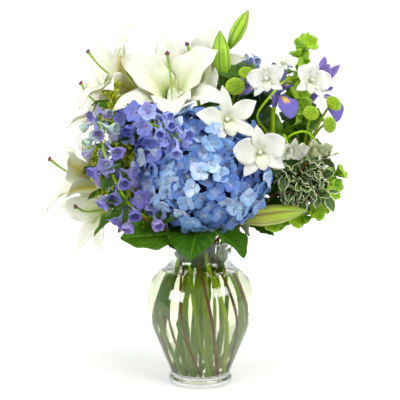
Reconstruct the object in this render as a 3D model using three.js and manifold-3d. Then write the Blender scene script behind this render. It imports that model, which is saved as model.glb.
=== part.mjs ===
// A mixed bouquet standing in water in a clear glass ginger-jar vase: one large blue hydrangea head in
// front, white lilies, violet delphinium, white orchids, iris, button chrysanthemums, bells of Ireland,
// goldenrod, variegated pittosporum and broad leaves.
// Millimetres, +Z up. The origin is the middle of the vase's flat foot, and the viewer stands at -Y.
//
// The stems pass the neck of the vase in two rings and twist as they go down, as in a hand-tied bunch,
// so that they never meet. Each bloom faces the way its bearing (0 = to the viewer, 90 = to the viewer's
// right) and its rise above the horizon say. Pieces that would cross are pared back from each other.

import * as THREE from "three";
import { mergeVertices } from "three/addons/utils/BufferGeometryUtils.js";
import Module from "manifold-3d";

const wasm = await Module();
wasm.setup();
const { Manifold, Mesh: SolidMesh } = wasm;
const { degToRad, lerp } = THREE.MathUtils;

// ---------- Driving sizes ----------

const VASE_HEIGHT = 188;
const FOOT_RADIUS = 41;
const BODY_RADIUS = 70;
const NECK_RADIUS = 39.8;
const RIM_RADIUS = 46.5;
const WALL = 3;
const GLASS_FLOOR = 12;
const NECK_HEIGHT = 167;
const WATER_LEVEL = 149;

const GAP = 0.4; // between pieces that touch, and round a stem in the water
const FINEST = 0.24; // detail that joining and paring may leave
const FINEST_IN_LILIES = 0.6; // and in the large petals, which cross each other most
const SPECK = 0.001; // the largest overlap that counts as none, in cubic mm
const PETAL = 0.8; // thickness of petals
const LEAF = 0.9; // thickness of leaves

const HEAD_CENTRE = [3, -50, 281];
const HEAD_RADII = [82, 76, 77]; // half the hydrangea head's width, depth and height
const GOLDEN_ANGLE = 137.508; // from one floret or leaf to the next, in degrees
const UPWARDS = new THREE.Vector3(0, 0, 1);

// ---------- Solids from geometry ----------

// A closed geometry as a solid, whichever way round its faces were written.
function solid(geometry) {
  const bare = new THREE.BufferGeometry();
  bare.setAttribute("position", geometry.getAttribute("position"));
  bare.setIndex(geometry.index);
  const merged = mergeVertices(bare, 1e-4);
  const index = merged.index.array;
  const corners = merged.getAttribute("position").array;
  const faces = [];
  let volume = 0;
  for (let i = 0; i < index.length; i += 3) {
    const [a, b, c] = [index[i], index[i + 1], index[i + 2]];
    if (a === b || b === c || c === a) continue;
    faces.push([a, b, c]);
    const [p, q, r] = [a, b, c].map((k) => new THREE.Vector3().fromArray(corners, 3 * k));
    volume += p.dot(q.cross(r));
  }
  const facing = faces.flatMap(([a, b, c]) => (volume < 0 ? [a, c, b] : [a, b, c]));
  const [vertProperties, triVerts] = [new Float32Array(corners), new Uint32Array(facing)];
  return new Manifold(new SolidMesh({ numProp: 3, vertProperties, triVerts }));
}

// A solid from corners and the triangles between them.
function faceted(corners, index) {
  const geometry = new THREE.BufferGeometry();
  const numbers = corners.flatMap((corner) => corner.toArray());
  geometry.setAttribute("position", new THREE.Float32BufferAttribute(numbers, 3));
  geometry.setIndex(index);
  return solid(geometry);
}

const fuse = (parts) => Manifold.union(parts);

// The largest of the separate bodies that paring may leave.
function largest(body) {
  return body.decompose().reduce((best, each) => (each.volume() > best.volume() ? each : best));
}

// The same solid with its surface moved out, used to pare back whatever it would cross.
function swollen(body) {
  const mesh = body.getMesh();
  const corners = mesh.vertProperties;
  const normals = Array.from({ length: mesh.numVert }, () => new THREE.Vector3());
  const corner = (k) => new THREE.Vector3().fromArray(corners, mesh.numProp * k);
  for (let i = 0; i < mesh.triVerts.length; i += 3) {
    const ids = [...mesh.triVerts.subarray(i, i + 3)];
    const at = ids.map(corner);
    const face = new THREE.Triangle(...at).getNormal(new THREE.Vector3());
    ids.forEach((id, k) => {
      const one = at[(k + 1) % 3].clone().sub(at[k]);
      const two = at[(k + 2) % 3].clone().sub(at[k]);
      normals[id].addScaledVector(face, one.angleTo(two) || 0);
    });
  }
  const moved = new Float32Array(3 * mesh.numVert);
  normals.forEach((n, k) => corner(k).addScaledVector(n.normalize(), GAP).toArray(moved, 3 * k));
  return new Manifold(new SolidMesh({ numProp: 3, vertProperties: moved, triVerts: mesh.triVerts }));
}

// ---------- Placing ----------

// Local +Z turns to face along bearing and rise; local +Y stays uppermost, then rolls.
function facing(at, bearing, rise, roll = 0) {
  return new THREE.Matrix4()
    .makeRotationZ(degToRad(bearing))
    .multiply(new THREE.Matrix4().makeRotationX(degToRad(90 - rise)))
    .multiply(new THREE.Matrix4().makeRotationZ(degToRad(roll)))
    .setPosition(...at);
}

// Local +Z turned to a direction, for things that stand on a curved surface or a stem.
function standing(at, direction, roll = 0) {
  const [x, y, z] = new THREE.Vector3(...direction).normalize().toArray();
  const bearing = THREE.MathUtils.radToDeg(Math.atan2(x, -y));
  const rise = THREE.MathUtils.radToDeg(Math.asin(THREE.MathUtils.clamp(z, -1, 1)));
  return facing(at, bearing, rise, roll);
}

const put = (body, matrix) => body.transform(matrix.elements);

// ---------- Stems ----------

function tube(points, radius, steps, sides = 6) {
  const path = new THREE.CatmullRomCurve3(points.map((p) => new THREE.Vector3(...p)));
  const ring = Array.from({ length: sides }, (_, i) => {
    const angle = (2 * Math.PI * i) / sides;
    return new THREE.Vector2(radius * Math.cos(angle), radius * Math.sin(angle));
  });
  return solid(new THREE.ExtrudeGeometry(new THREE.Shape(ring), { steps, extrudePath: path }));
}

// A straight tapering twig, filament or flower stalk.
function twig(from, to, thick, thin, sides = 4) {
  const a = new THREE.Vector3(...from);
  const along = new THREE.Vector3(...to).sub(a);
  const rod = new THREE.CylinderGeometry(thin, thick, along.length(), sides);
  rod.translate(0, along.length() / 2, 0);
  const up = new THREE.Vector3(0, 1, 0);
  rod.applyQuaternion(new THREE.Quaternion().setFromUnitVectors(up, along.normalize()));
  return solid(rod.translate(...a.toArray()));
}

// Distances of the two rings of stems from the axis: at the cut ends, the belly, the neck and the lip.
const RINGS = {
  outer: { foot: 27, belly: 45, neck: 28.5, lip: 34, twist: 55 },
  middle: { foot: 14, belly: 21, neck: 14, lip: 18, twist: -35 },
  centre: { foot: 0, belly: 0, neck: 0, lip: 0, twist: 0 },
};

// The course of a stem through the vase: from its cut end, past the belly and the neck, to the lip.
function throughVase(ring, neckAngle, cutHeight) {
  const { foot, belly, neck, lip, twist } = RINGS[ring];
  const at = (r, angle, z) => [r * Math.cos(degToRad(angle)), r * Math.sin(degToRad(angle)), z];
  return [
    at(foot, neckAngle + twist, GLASS_FLOOR + GAP + cutHeight),
    at(belly, neckAngle + twist * 0.45, (GLASS_FLOOR + NECK_HEIGHT) / 2),
    at(neck, neckAngle, NECK_HEIGHT),
    at(lip, neckAngle, VASE_HEIGHT + 4),
  ];
}

const STEM_STEPS = 7;

const route = ({ ring, neck, cut = 0, above }) => [...throughVase(ring, neck, cut), ...above];

const stem = (plant) => tube(route(plant), plant.radius, STEM_STEPS, plant.radius < 2.5 ? 4 : 5);

// A stem's middle line in the straight stretches of its tube, so that what grows on it is rooted in it.
function railOf(plant) {
  const curve = new THREE.CatmullRomCurve3(route(plant).map((p) => new THREE.Vector3(...p)));
  const points = curve.getSpacedPoints(STEM_STEPS);
  const stretch = (t) => Math.min(Math.floor(t * STEM_STEPS), STEM_STEPS - 1);
  const at = (t) => points[stretch(t)].clone().lerp(points[stretch(t) + 1], t * STEM_STEPS - stretch(t));
  const along = (t) => points[stretch(t) + 1].clone().sub(points[stretch(t)]).normalize();
  return { at, along, length: curve.getLength() };
}

// Where a side stalk leaves the stem: some way below the point of the stem nearest to what it carries.
function fork(rail, target) {
  const [TRIES, DROP] = [80, 0.55];
  const goal = new THREE.Vector3(...target);
  const shares = Array.from({ length: TRIES + 1 }, (_, i) => i / TRIES);
  const near = shares.reduce((a, b) => (rail.at(b).distanceTo(goal) < rail.at(a).distanceTo(goal) ? b : a));
  const below = (DROP * rail.at(near).distanceTo(goal)) / rail.length;
  return rail.at(Math.max(near - below, 0.5)).toArray();
}

// The last stretch of the stalk that carries a bloom, square to the bloom's back and just clear of it.
function seat({ base, bearing, rise }, back) {
  const LAST_STRETCH = 14;
  const axis = UPWARDS.clone().transformDirection(facing([0, 0, 0], bearing, rise));
  const behind = (far) => new THREE.Vector3(...base).addScaledVector(axis, -far).toArray();
  return [behind(back + LAST_STRETCH), behind(back + GAP)];
}

// Places spaced in a spiral along the upper stretch of a stem, each with the way out from it.
function spiral(rail, count, from, to = 1) {
  return Array.from({ length: count }, (_, i) => {
    const share = i / (count - 1);
    const t = lerp(from, to, share);
    const along = rail.along(t);
    const level = UPWARDS.clone().cross(along).normalize();
    const out = level.applyAxisAngle(along, degToRad(i * GOLDEN_ANGLE));
    return { at: rail.at(t), along, out, share, i };
  });
}

// ---------- Petals and leaves ----------

// Rows of points of a petal that leaves the flower's axis at lean[0] degrees and reaches lean[1] at its tip.
// turn is where it stands round the axis, fullest how far along it is widest, and wrap how closely its
// lower part curls round the axis, as petals do that form a trumpet.
function petalRows({
  length, width, turn = 0, lean = [0, 60], bend = 1, cup = 0, ruffle = 0, waves = 2, root = 0, wrap = 0,
  base = 0.2, fullest = 0.55, round = 0.8, along = [0, 0.25, 0.5, 0.78, 1], across = 3,
}) {
  const MARCH = 24; // short straight steps that follow the midrib's bend
  const outward = new THREE.Vector3(Math.cos(degToRad(turn)), Math.sin(degToRad(turn)), 0);
  const sideways = new THREE.Vector3(-outward.y, outward.x, 0);
  const angleAt = (t) => degToRad(lerp(lean[0], lean[1], t ** bend));
  const midrib = (t) => {
    let [far, high] = [root, 0];
    for (let i = 0; i < MARCH; i++) {
      const angle = angleAt((t * (i + 0.5)) / MARCH);
      far += (Math.sin(angle) * length * t) / MARCH;
      high += (Math.cos(angle) * length * t) / MARCH;
    }
    return [far, high];
  };
  const peak = Math.log(0.5) / Math.log(fullest);
  return along.map((t) => {
    const [far, high] = midrib(t);
    const angle = angleAt(t);
    const swell = Math.max(0, Math.sin(Math.PI * t ** peak)) ** round;
    const half = (width / 2) * (base * (1 - t) + (1 - base * (1 - fullest)) * swell);
    const curl = (wrap * (1 - t) ** 1.5) / Math.max(far, 1) + 1e-6;
    return Array.from({ length: across }, (_, i) => {
      const s = (2 * i) / (across - 1) - 1;
      const wave = ruffle * Math.sin(2 * Math.PI * waves * t + s) * Math.sign(half);
      const lift = (1 - Math.cos(s * half * curl)) / curl + (cup * half + wave) * s * s;
      return new THREE.Vector3()
        .addScaledVector(outward, far - lift * Math.cos(angle))
        .addScaledVector(UPWARDS, high + lift * Math.sin(angle))
        .addScaledVector(sideways, Math.sin(s * half * curl) / curl);
    });
  });
}

// A thin closed plate over rows of points, split into triangles alike on both faces.
function plate(rows, thickness) {
  const [count, width] = [rows.length, rows[0].length];
  const clampTo = (v, top) => Math.min(Math.max(v, 0), top);
  const point = (k, m) => rows[clampTo(k, count - 1)][clampTo(m, width - 1)];
  const normal = (k, m) => {
    const level = Math.min(k, count - 2);
    const along = point(k + 1, m).clone().sub(point(k - 1, m));
    const across = point(level, m + 1).clone().sub(point(level, m - 1));
    return across.cross(along).normalize();
  };
  const faces = [[], []];
  const corners = [];
  rows.forEach((row, k) => {
    const pointed = k === count - 1 && row[0].distanceTo(row[width - 1]) < 1e-6;
    row.forEach((p, m) => {
      const half = normal(k, pointed ? Math.floor((width - 1) / 2) : m).multiplyScalar(thickness / 2);
      corners.push(p.clone().add(half), p.clone().sub(half));
    });
  });
  const id = (k, m, face) => 2 * (k * width + m) + face;
  const quad = (a, b, c, d) => faces[0].push(a, b, c, a, c, d);
  for (let k = 0; k < count - 1; k++) {
    for (let m = 0; m < width - 1; m++) {
      quad(id(k, m, 0), id(k, m + 1, 0), id(k + 1, m + 1, 0), id(k + 1, m, 0));
      faces[1].push(id(k, m, 1), id(k + 1, m + 1, 1), id(k, m + 1, 1));
      faces[1].push(id(k, m, 1), id(k + 1, m, 1), id(k + 1, m + 1, 1));
    }
    quad(id(k, 0, 1), id(k, 0, 0), id(k + 1, 0, 0), id(k + 1, 0, 1));
    quad(id(k, width - 1, 0), id(k, width - 1, 1), id(k + 1, width - 1, 1), id(k + 1, width - 1, 0));
  }
  for (let m = 0; m < width - 1; m++) {
    quad(id(0, m, 1), id(0, m + 1, 1), id(0, m + 1, 0), id(0, m, 0));
    quad(id(count - 1, m, 0), id(count - 1, m + 1, 0), id(count - 1, m + 1, 1), id(count - 1, m, 1));
  }
  return faceted(corners, faces.flat());
}

const petal = (shape, thickness = PETAL) => plate(petalRows(shape), thickness);

// A leaf starts along local +Z and droops towards local -Y, its upper side up.
const leaf = (shape) => petal({ turn: -90, base: 0.12, fullest: 0.42, ...shape }, LEAF);

const BROAD = { cup: 0.12, ruffle: 1.5, waves: 3, base: 0.1, fullest: 0.45, along: [0, 0.2, 0.45, 0.75, 1] };

// Outlines of a lobe from one side to the other, as shares of its reach and of half its spread.
const NARROW = [[1, 0]];
const BLUNT = [[1, -1], [1, 1]];
const POINTED = [[0.68, -1], [1, 0], [0.68, 1]];

// A small flower as one solid: flat lobes round a centre, and behind them a slender cone, its stalk.
// A lobe's lift says how far its tip stands forward, and the notches between lobes lie on a small ring.
function floret(lobes, { notch, back }) {
  const at = (r, angle, z) => new THREE.Vector3(r, 0, z).applyAxisAngle(UPWARDS, degToRad(angle));
  const corners = [new THREE.Vector3(0, 0, 0), new THREE.Vector3(0, 0, -back)];
  const edges = lobes.map(({ turn, reach, spread = 0, lift, outline }, k) => {
    const next = lobes[(k + 1) % lobes.length].turn + (k + 1 === lobes.length ? 360 : 0);
    const points = outline.map(([far, side]) => at(reach * far, turn + side * spread, lift * far));
    return [...points, at(notch, (turn + next) / 2, 0)].map((p) => {
      corners.push(p, p.clone().setZ(p.z - PETAL));
      return corners.length - 2;
    });
  });
  const below = (i) => i + 1;
  const index = [];
  const rim = edges.flat();
  rim.forEach((from, i) => {
    const to = rim[(i + 1) % rim.length];
    index.push(0, from, to, from, below(from), below(to), from, below(to), to);
  });
  edges.forEach((edge, k) => {
    const before = edges[(k + edges.length - 1) % edges.length].at(-1);
    for (let i = 0; i + 1 < edge.length; i++) index.push(below(before), below(edge[i + 1]), below(edge[i]));
    index.push(1, below(edge.at(-1)), below(before));
  });
  return faceted(corners, index);
}

// Equal lobes all the way round.
function evenFloret(count, lobe, { notch, back }) {
  const lobes = Array.from({ length: count }, (_, k) => ({ ...lobe, turn: (360 * k) / count }));
  return floret(lobes, { notch, back });
}

// ---------- Vase and water ----------

// The glass surface from the foot up, as [radius, height], drawn as one smooth curve.
const OUTER_PROFILE = [
  [FOOT_RADIUS - 0.5, 3], [FOOT_RADIUS, 7], [FOOT_RADIUS - 1.7, 14.5], [48, 36], [57, 58], [65, 79],
  [BODY_RADIUS, 108], [65.6, 132], [56, 145], [46, 153], [41.2, 159], [NECK_RADIUS, NECK_HEIGHT],
  [42, 179], [RIM_RADIUS, VASE_HEIGHT],
];

function smoothProfile(points, count) {
  return new THREE.SplineCurve(points.map(([r, z]) => new THREE.Vector2(r, z))).getPoints(count);
}

// The glass surface inside, from the round of the floor up.
const INNER_PROFILE = [
  [33, GLASS_FLOOR + 2],
  ...OUTER_PROFILE.filter(([, z]) => z > 20).map(([r, z]) => [r - WALL, z]),
];

function turned(profile, sides) {
  const lathe = new THREE.LatheGeometry(profile, sides);
  return solid(lathe.rotateX(Math.PI / 2));
}

const VASE_SIDES = 20;
const FLOOR_RADIUS = 27; // the level part of the glass floor
const SURFACE_RADIUS = 49; // the water's surface

function vase() {
  const outside = smoothProfile(OUTER_PROFILE, 10);
  const inside = smoothProfile(INNER_PROFILE, 7).reverse();
  const foot = [new THREE.Vector2(0, 0), new THREE.Vector2(FOOT_RADIUS - 4, 0)];
  const floor = [new THREE.Vector2(FLOOR_RADIUS, GLASS_FLOOR), new THREE.Vector2(0, GLASS_FLOOR)];
  return turned([...foot, ...outside, ...inside, ...floor], VASE_SIDES);
}

function water() {
  const wall = smoothProfile(INNER_PROFILE, 7)
    .filter((p) => p.y < WATER_LEVEL)
    .map((p) => new THREE.Vector2(p.x - 1, p.y + GAP));
  const floor = [0, FLOOR_RADIUS - 0.5].map((r) => new THREE.Vector2(r, GLASS_FLOOR + GAP));
  const surface = [SURFACE_RADIUS, 0].map((r) => new THREE.Vector2(r, WATER_LEVEL));
  return turned([...floor, ...wall, ...surface], VASE_SIDES);
}

// ---------- Hydrangea ----------

// The head faces the viewer and a little up, and its underside is bare round the stem. Neighbouring florets
// stand at three depths, so that they overlap like scales without crossing.
function hydrangeaHead() {
  const FLORETS = 39;
  const BARE = -0.56; // florets stop here on the way round to the stem, as a share of the radius
  const DEPTHS = [0.965, 0.915, 0.865];
  const tilt = facing([0, 0, 0], 0, 62);
  const core = solid(new THREE.IcosahedronGeometry(1, 1)).scale(HEAD_RADII.map((r) => r * 0.83));
  const florets = Array.from({ length: FLORETS }, (_, i) => {
    const height = 1 - ((i + 0.5) / FLORETS) * (1 - BARE);
    const around = degToRad(i * GOLDEN_ANGLE);
    const flat = Math.sqrt(1 - height * height);
    const [x, y] = [flat * Math.cos(around), flat * Math.sin(around)];
    const out = new THREE.Vector3(x, y, height).transformDirection(tilt);
    const at = HEAD_RADII.map((r, k) => r * DEPTHS[i % 3] * out.getComponent(k));
    const normal = HEAD_RADII.map((r, k) => out.getComponent(k) / r);
    const sepal = { reach: 20, spread: 27, lift: 2.5, outline: BLUNT };
    return put(evenFloret(4, sepal, { notch: 5, back: 19 }), standing(at, normal, i * 37));
  });
  return fuse([core, ...florets]).translate(HEAD_CENTRE);
}

// ---------- Lilies ----------

const TEPAL = { length: 98, bend: 1.8, base: 0.2, round: 1, wrap: 0.95, cup: 0.06, ruffle: 1 };
const OUTER_TEPAL = { ...TEPAL, width: 31, fullest: 0.52, root: 8, along: [0, 0.5, 1] };
const INNER_TEPAL = { ...TEPAL, width: 44, fullest: 0.58, root: 5, along: [0, 0.3, 0.62, 1] };
const THROAT_BACK = 4; // how far the flower's throat reaches back from its base point

// The base of the flower is at the local origin, and its throat opens some 45 mm further on.
function lilyPetals({ size = 1, open = 1 }) {
  const tepal = (shape, turn, start, end) => {
    const [length, width] = [shape.length * size, shape.width * size];
    return petal({ ...shape, turn, length, width, lean: [start, lerp(30, end, open)] });
  };
  const outer = [90, 210, 330].map((turn) => tepal(OUTER_TEPAL, turn, 17, 122));
  const inner = [30, 150, 270].map((turn) => tepal(INNER_TEPAL, turn, 10, 108));
  const [WIDE, NARROWED, DEEP] = [11, 6.5, 13];
  const throat = new THREE.CylinderGeometry(WIDE, NARROWED, DEEP, 6).rotateX(Math.PI / 2);
  return fuse([...outer, ...inner, solid(throat.translate(0, 0, DEEP / 2 - THROAT_BACK))]);
}

function lilyPistil({ size = 1 }) {
  const style = tube([[0, 0, 9.5], [0, -1, 35], [1, 2, 62], [1, 9, 86 * size]], 1.5, 3, 4);
  const stigma = solid(new THREE.IcosahedronGeometry(3.4, 0)).scale([1, 1, 0.7]);
  return fuse([style, stigma.translate([1, 9.5, 87 * size])]);
}

// A closed lily bud, ribbed along its six folded petals, pointing along local +Z.
function lilyBud(length, width) {
  const RISE = [0, 0.1, 0.35, 0.65, 0.9, 1];
  const WIDE = [0.3, 0.56, 0.97, 0.95, 0.46, 0];
  const profile = RISE.map((t, k) => new THREE.Vector2((WIDE[k] * width) / 2, t * length));
  const lathe = new THREE.LatheGeometry([new THREE.Vector2(0, 0), ...profile], 12);
  const spots = lathe.getAttribute("position");
  for (let i = 0; i < spots.count; i++) {
    const rib = Math.round((Math.atan2(spots.getX(i), spots.getZ(i)) / Math.PI) * 6) % 2 ? 0.88 : 1;
    spots.setXYZ(i, spots.getX(i) * rib, spots.getY(i), spots.getZ(i) * rib);
  }
  return solid(lathe.rotateX(Math.PI / 2));
}

// ---------- Spray flowers ----------

// Florets climb a spike in a spiral, each drawn back through its spur into a slender stalk.
function delphiniumFlorets(rail, { count, from, stalk, reach }) {
  const TOWARDS_LIGHT = new THREE.Vector3(0, -0.45, -0.1);
  const ROOT = 3; // how far a stalk is sunk in its stem
  return spiral(rail, count, from).map(({ at, along, out, share, i }) => {
    const way = out.addScaledVector(along, lerp(0.2, 0.9, share)).add(TOWARDS_LIGHT).normalize();
    const long = stalk * lerp(1, 0.6, share);
    const sepal = { reach: reach * lerp(1, 0.75, share), lift: 3, outline: NARROW };
    const place = standing(at.addScaledVector(way, long).toArray(), way.toArray(), i * 50);
    return put(evenFloret(5, sepal, { notch: 6.5, back: long + ROOT }), place);
  });
}

const ORCHID_BACK = 9; // how far an orchid's stalk end lies behind the middle of its face

// A starry bloom has longer petals, hardly broader than its sepals.
function orchidBloom({ size, starry = false }) {
  const sepal = { reach: (starry ? 35 : 30) * size, spread: 11, lift: -3, outline: BLUNT };
  const wide = { reach: (starry ? 36 : 31) * size, spread: starry ? 20 : 31, lift: 1, outline: POINTED };
  const lobes = [
    { ...wide, turn: 18 },
    { ...sepal, turn: 90 },
    { ...wide, turn: 162 },
    { ...sepal, turn: 222 },
    { ...sepal, turn: 318 },
  ];
  const [length, width] = [21 * size, 13 * size];
  const lip = { turn: 270, length, width, lean: [20, 105], base: 0.3, along: [0, 0.5, 1], across: 2 };
  return fuse([floret(lobes, { notch: 6, back: ORCHID_BACK }), petal(lip, 1.2)]);
}

const OVARY_BACK = 15; // how far the iris's ovary reaches back from where its petals part

function irisBloom({ size }) {
  const sized = (length, width) => ({ length: length * size, width: width * size, root: 3 });
  const fall = { ...sized(62, 30), lean: [35, 158], bend: 0.9, fullest: 0.72, base: 0.24 };
  const standard = { ...sized(54, 20), lean: [16, 6], fullest: 0.62, base: 0.3, cup: 0.25 };
  const arm = { ...sized(30, 12), lean: [22, 66], fullest: 0.6, base: 0.4 };
  const ovary = solid(new THREE.CylinderGeometry(6, 3.6, OVARY_BACK + 5, 6).rotateX(Math.PI / 2));
  return fuse([
    ...[-90, 30, 150].map((turn) => petal({ ...fall, turn, along: [0, 0.35, 0.7, 1] })),
    ...[90, 210, 330].map((turn) => petal({ ...standard, turn, along: [0, 0.6, 1], across: 2 })),
    ...[-90, 30, 150].map((turn) => petal({ ...arm, turn, along: [0, 0.6, 1], across: 2 })),
    ovary.translate(0, 0, (5 - OVARY_BACK) / 2),
  ]);
}

// A button head: a dome whose tight florets stand up as small points.
function buttonHead(radius) {
  const [AROUND, DOWN] = [8, 6];
  const ball = new THREE.SphereGeometry(radius, AROUND, DOWN);
  const spots = ball.getAttribute("position");
  const spot = new THREE.Vector3();
  for (let i = 0; i < spots.count; i++) {
    spot.fromBufferAttribute(spots, i);
    const row = Math.round((Math.acos(THREE.MathUtils.clamp(spot.y / radius, -1, 1)) / Math.PI) * DOWN);
    const column = Math.round((Math.atan2(spot.z, spot.x) / Math.PI) * (AROUND / 2));
    const bump = row > 0 && row < DOWN && (row + column) % 2 ? 1.12 : 0.96;
    spots.setXYZ(i, spot.x * bump, spot.y * bump * 0.68, spot.z * bump);
  }
  return solid(ball.rotateX(Math.PI / 2));
}

// A bell of Ireland: a papery cup with a wavy rim, opening along local +Z.
function bell(size) {
  const profile = [[0, -1.5], [13, 12], [11.5, 13], [0, 2]];
  const lathe = new THREE.LatheGeometry(profile.map(([r, z]) => new THREE.Vector2(r * size, z * size)), 5);
  return solid(lathe.rotateX(Math.PI / 2));
}

// Bells stand in pairs round their stem, each pair across the one below, opening outwards and up.
function bellPairs(rail, { pairs, from, size }) {
  return spiral(rail, pairs, from, 0.99).flatMap(({ at, along, out, share, i }) =>
    [0, 180].map((turn) => {
      const side = out.clone().applyAxisAngle(along, degToRad(turn - i * (GOLDEN_ANGLE - 90)));
      const open = side.clone().addScaledVector(along, 0.55);
      const place = standing(at.clone().add(side).toArray(), open.toArray());
      return put(bell(size * lerp(1, 0.72, share)), place);
    }),
  );
}

// Small leaves set round a twig in a spiral, from its first third to its tip.
function twigLeaves(from, to, count, shape) {
  const [a, b] = [new THREE.Vector3(...from), new THREE.Vector3(...to)];
  const along = b.clone().sub(a).normalize();
  const rail = { at: (t) => a.clone().lerp(b, t), along: () => along };
  return spiral(rail, count, 0.3, 0.98).map(({ at, out }) => {
    const way = out.addScaledVector(along, 0.75);
    return put(leaf({ ...shape, along: [0, 0.45, 1], across: 2 }), standing(at.toArray(), way.toArray()));
  });
}

// One beaded side branch of goldenrod along local +Z: its flower buds swell out in rows.
function beadedBranch(length) {
  const [BEADS, THIN, FAT, ROOT] = [3, 1, 3.7, 2.5];
  const profile = [new THREE.Vector2(0, -ROOT)];
  for (let i = 0; i < BEADS; i++) {
    profile.push(new THREE.Vector2(THIN, (length * (i + 0.3)) / BEADS));
    profile.push(new THREE.Vector2(FAT - i * 0.5, (length * (i + 0.75)) / BEADS));
  }
  profile.push(new THREE.Vector2(0, length));
  return solid(new THREE.LatheGeometry(profile, 4).rotateX(Math.PI / 2));
}

// Goldenrod: beaded branches arch off a stem in a spiral.
function goldenrodPlume(rail, { branches, from, reach }) {
  return spiral(rail, branches, from).map(({ at, along, out, share }) => {
    const way = out.addScaledVector(along, lerp(0.5, 1.6, share));
    return put(beadedBranch(reach * lerp(1, 0.6, share)), standing(at.toArray(), way.toArray()));
  });
}

// ---------- Where everything stands ----------

const LILIES = [
  { name: "lily_front", base: [-34, 18, 357], bearing: -5, rise: 38, roll: 8, size: 1.12, open: 1 },
  { name: "lily_top", base: [-4, 60, 376], bearing: -8, rise: 42, roll: 38, size: 1, open: 0.9 },
  { name: "lily_left_high", base: [-82, 16, 380], bearing: -64, rise: 30, roll: 4, size: 0.95, open: 0.95 },
  { name: "lily_left_back", base: [-102, 40, 342], bearing: -74, rise: 34, roll: 15, size: 0.86, open: 0.85 },
  { name: "lily_left", base: [-117, -8, 260], bearing: -78, rise: 18, roll: -5, size: 0.95, open: 0.85 },
  { name: "lily_left_low", base: [-110, 26, 228], bearing: -40, rise: -2, roll: 30, size: 0.82, open: 0.85 },
];

const LILY_STALKS = [
  {
    name: "lily_stalk_top", ring: "middle", neck: 90, radius: 3.6,
    above: [[2, 36, 225], [6, 46, 290], [16, 42, 345], [28, 12, 388]],
    carries: ["lily_front", "lily_top"],
    shoots: [[37, 16, 438]],
    buds: [
      { at: [28, 12, 386], bearing: -25, rise: 84, length: 72, width: 26 },
      { at: [37, 16, 436], bearing: 75, rise: 62, length: 54, width: 19 },
    ],
  },
  {
    name: "lily_stalk_left", ring: "middle", neck: 150, radius: 3.6,
    above: [[-25, 25, 222], [-44, 42, 280], [-52, 38, 326]],
    carries: ["lily_left_high", "lily_left_back"],
    shoots: [],
    buds: [],
  },
  {
    name: "lily_stalk_low", ring: "outer", neck: 172.5, radius: 3.6,
    above: [[-52, 8, 208], [-68, 8, 220], [-80, 8, 232]],
    carries: ["lily_left", "lily_left_low"],
    shoots: [],
    buds: [],
  },
  {
    name: "lily_stalk_right", ring: "outer", neck: 285, radius: 3.2,
    above: [[20, -37, 206], [34, -42, 216], [48, -45, 221]],
    carries: [],
    shoots: [],
    buds: [{ at: [46, -45, 220], bearing: 80, rise: 9, length: 86, width: 26 }],
  },
];

const DELPHINIUMS = [
  {
    name: "delphinium_left", ring: "outer", neck: 240, radius: 2.6,
    count: 10, from: 0.55, stalk: 25, reach: 14.5,
    above: [[-44, -50, 212], [-86, -92, 246], [-112, -94, 300], [-124, -62, 350]],
  },
  {
    name: "delphinium_front", ring: "middle", neck: 210, radius: 2.6,
    count: 8, from: 0.74, stalk: 28, reach: 15.5,
    above: [[-34, 5, 222], [-76, 14, 285], [-78, -24, 328], [-60, -84, 340], [-24, -126, 320]],
  },
  {
    name: "delphinium_top", ring: "middle", neck: 30, radius: 2.4,
    count: 6, from: 0.82, stalk: 19, reach: 11,
    above: [[28, 32, 230], [46, 44, 290], [56, 34, 360], [70, 14, 418]],
  },
];

const ORCHIDS = [
  {
    name: "orchid_spray_high", ring: "middle", neck: 330, radius: 1.9,
    above: [
      [34, 8, 215], [88, 24, 262], [88, 4, 320], [70, -48, 350],
      [84, -62, 372], [104, -48, 392], [126, -36, 398],
    ],
    blooms: [
      { base: [31, -88, 343], bearing: 14, rise: 12, roll: 12, size: 1.15, starry: true },
      { base: [81, -64, 392], bearing: -22, rise: 8, roll: 10, size: 0.82 },
      { base: [103, -40, 411], bearing: 10, rise: 40, roll: 0, size: 0.6 },
      { base: [134, -52, 391], bearing: 24, rise: 2, roll: -15, size: 0.88 },
    ],
  },
  {
    name: "orchid_spray_low", ring: "outer", neck: 37.5, radius: 1.9,
    above: [
      [60, 20, 210], [100, 18, 250], [102, -32, 296], [108, -62, 324], [126, -60, 330], [142, -46, 320],
    ],
    blooms: [
      { base: [70, -106, 305], bearing: -2, rise: 6, roll: 12, size: 1.1 },
      { base: [107, -76, 310], bearing: 18, rise: -44, roll: 0, size: 0.75 },
      { base: [139, -52, 311], bearing: 14, rise: -52, roll: 20, size: 0.8 },
    ],
  },
];

const IRISES = [
  {
    name: "iris_near", ring: "outer", neck: 15, radius: 3.2,
    above: [[60, 9, 219], [84, 2, 260], [92, -10, 322]],
    base: [94, -27, 373], bearing: 8, rise: 62, roll: 14, size: 0.86,
  },
  {
    name: "iris_far", ring: "outer", neck: 60, radius: 3.2,
    above: [[58, 36, 218], [118, 38, 285]],
    base: [147, 8, 376], bearing: 42, rise: 56, roll: 0, size: 0.94,
  },
];

const BUTTONS = [
  {
    name: "button_spray_right", ring: "outer", neck: 352.5, radius: 2,
    above: [[60, -8, 215], [112, -18, 262], [136, -34, 318]],
    heads: [
      { at: [165, -37, 364], bearing: 40, rise: 35, radius: 11 },
      { at: [159, -46, 338], bearing: 40, rise: 10, radius: 10.5 },
      { at: [134, -66, 352], bearing: 5, rise: 35, radius: 10 },
    ],
  },
  {
    name: "button_spray_top", ring: "centre", neck: 0, radius: 2,
    above: [[8, 16, 222], [28, 40, 290], [38, 14, 350]],
    heads: [
      { at: [43, -34, 385], bearing: 0, rise: 30, radius: 12.5 },
      { at: [58, -20, 402], bearing: 15, rise: 50, radius: 10.5 },
    ],
  },
];

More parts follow.
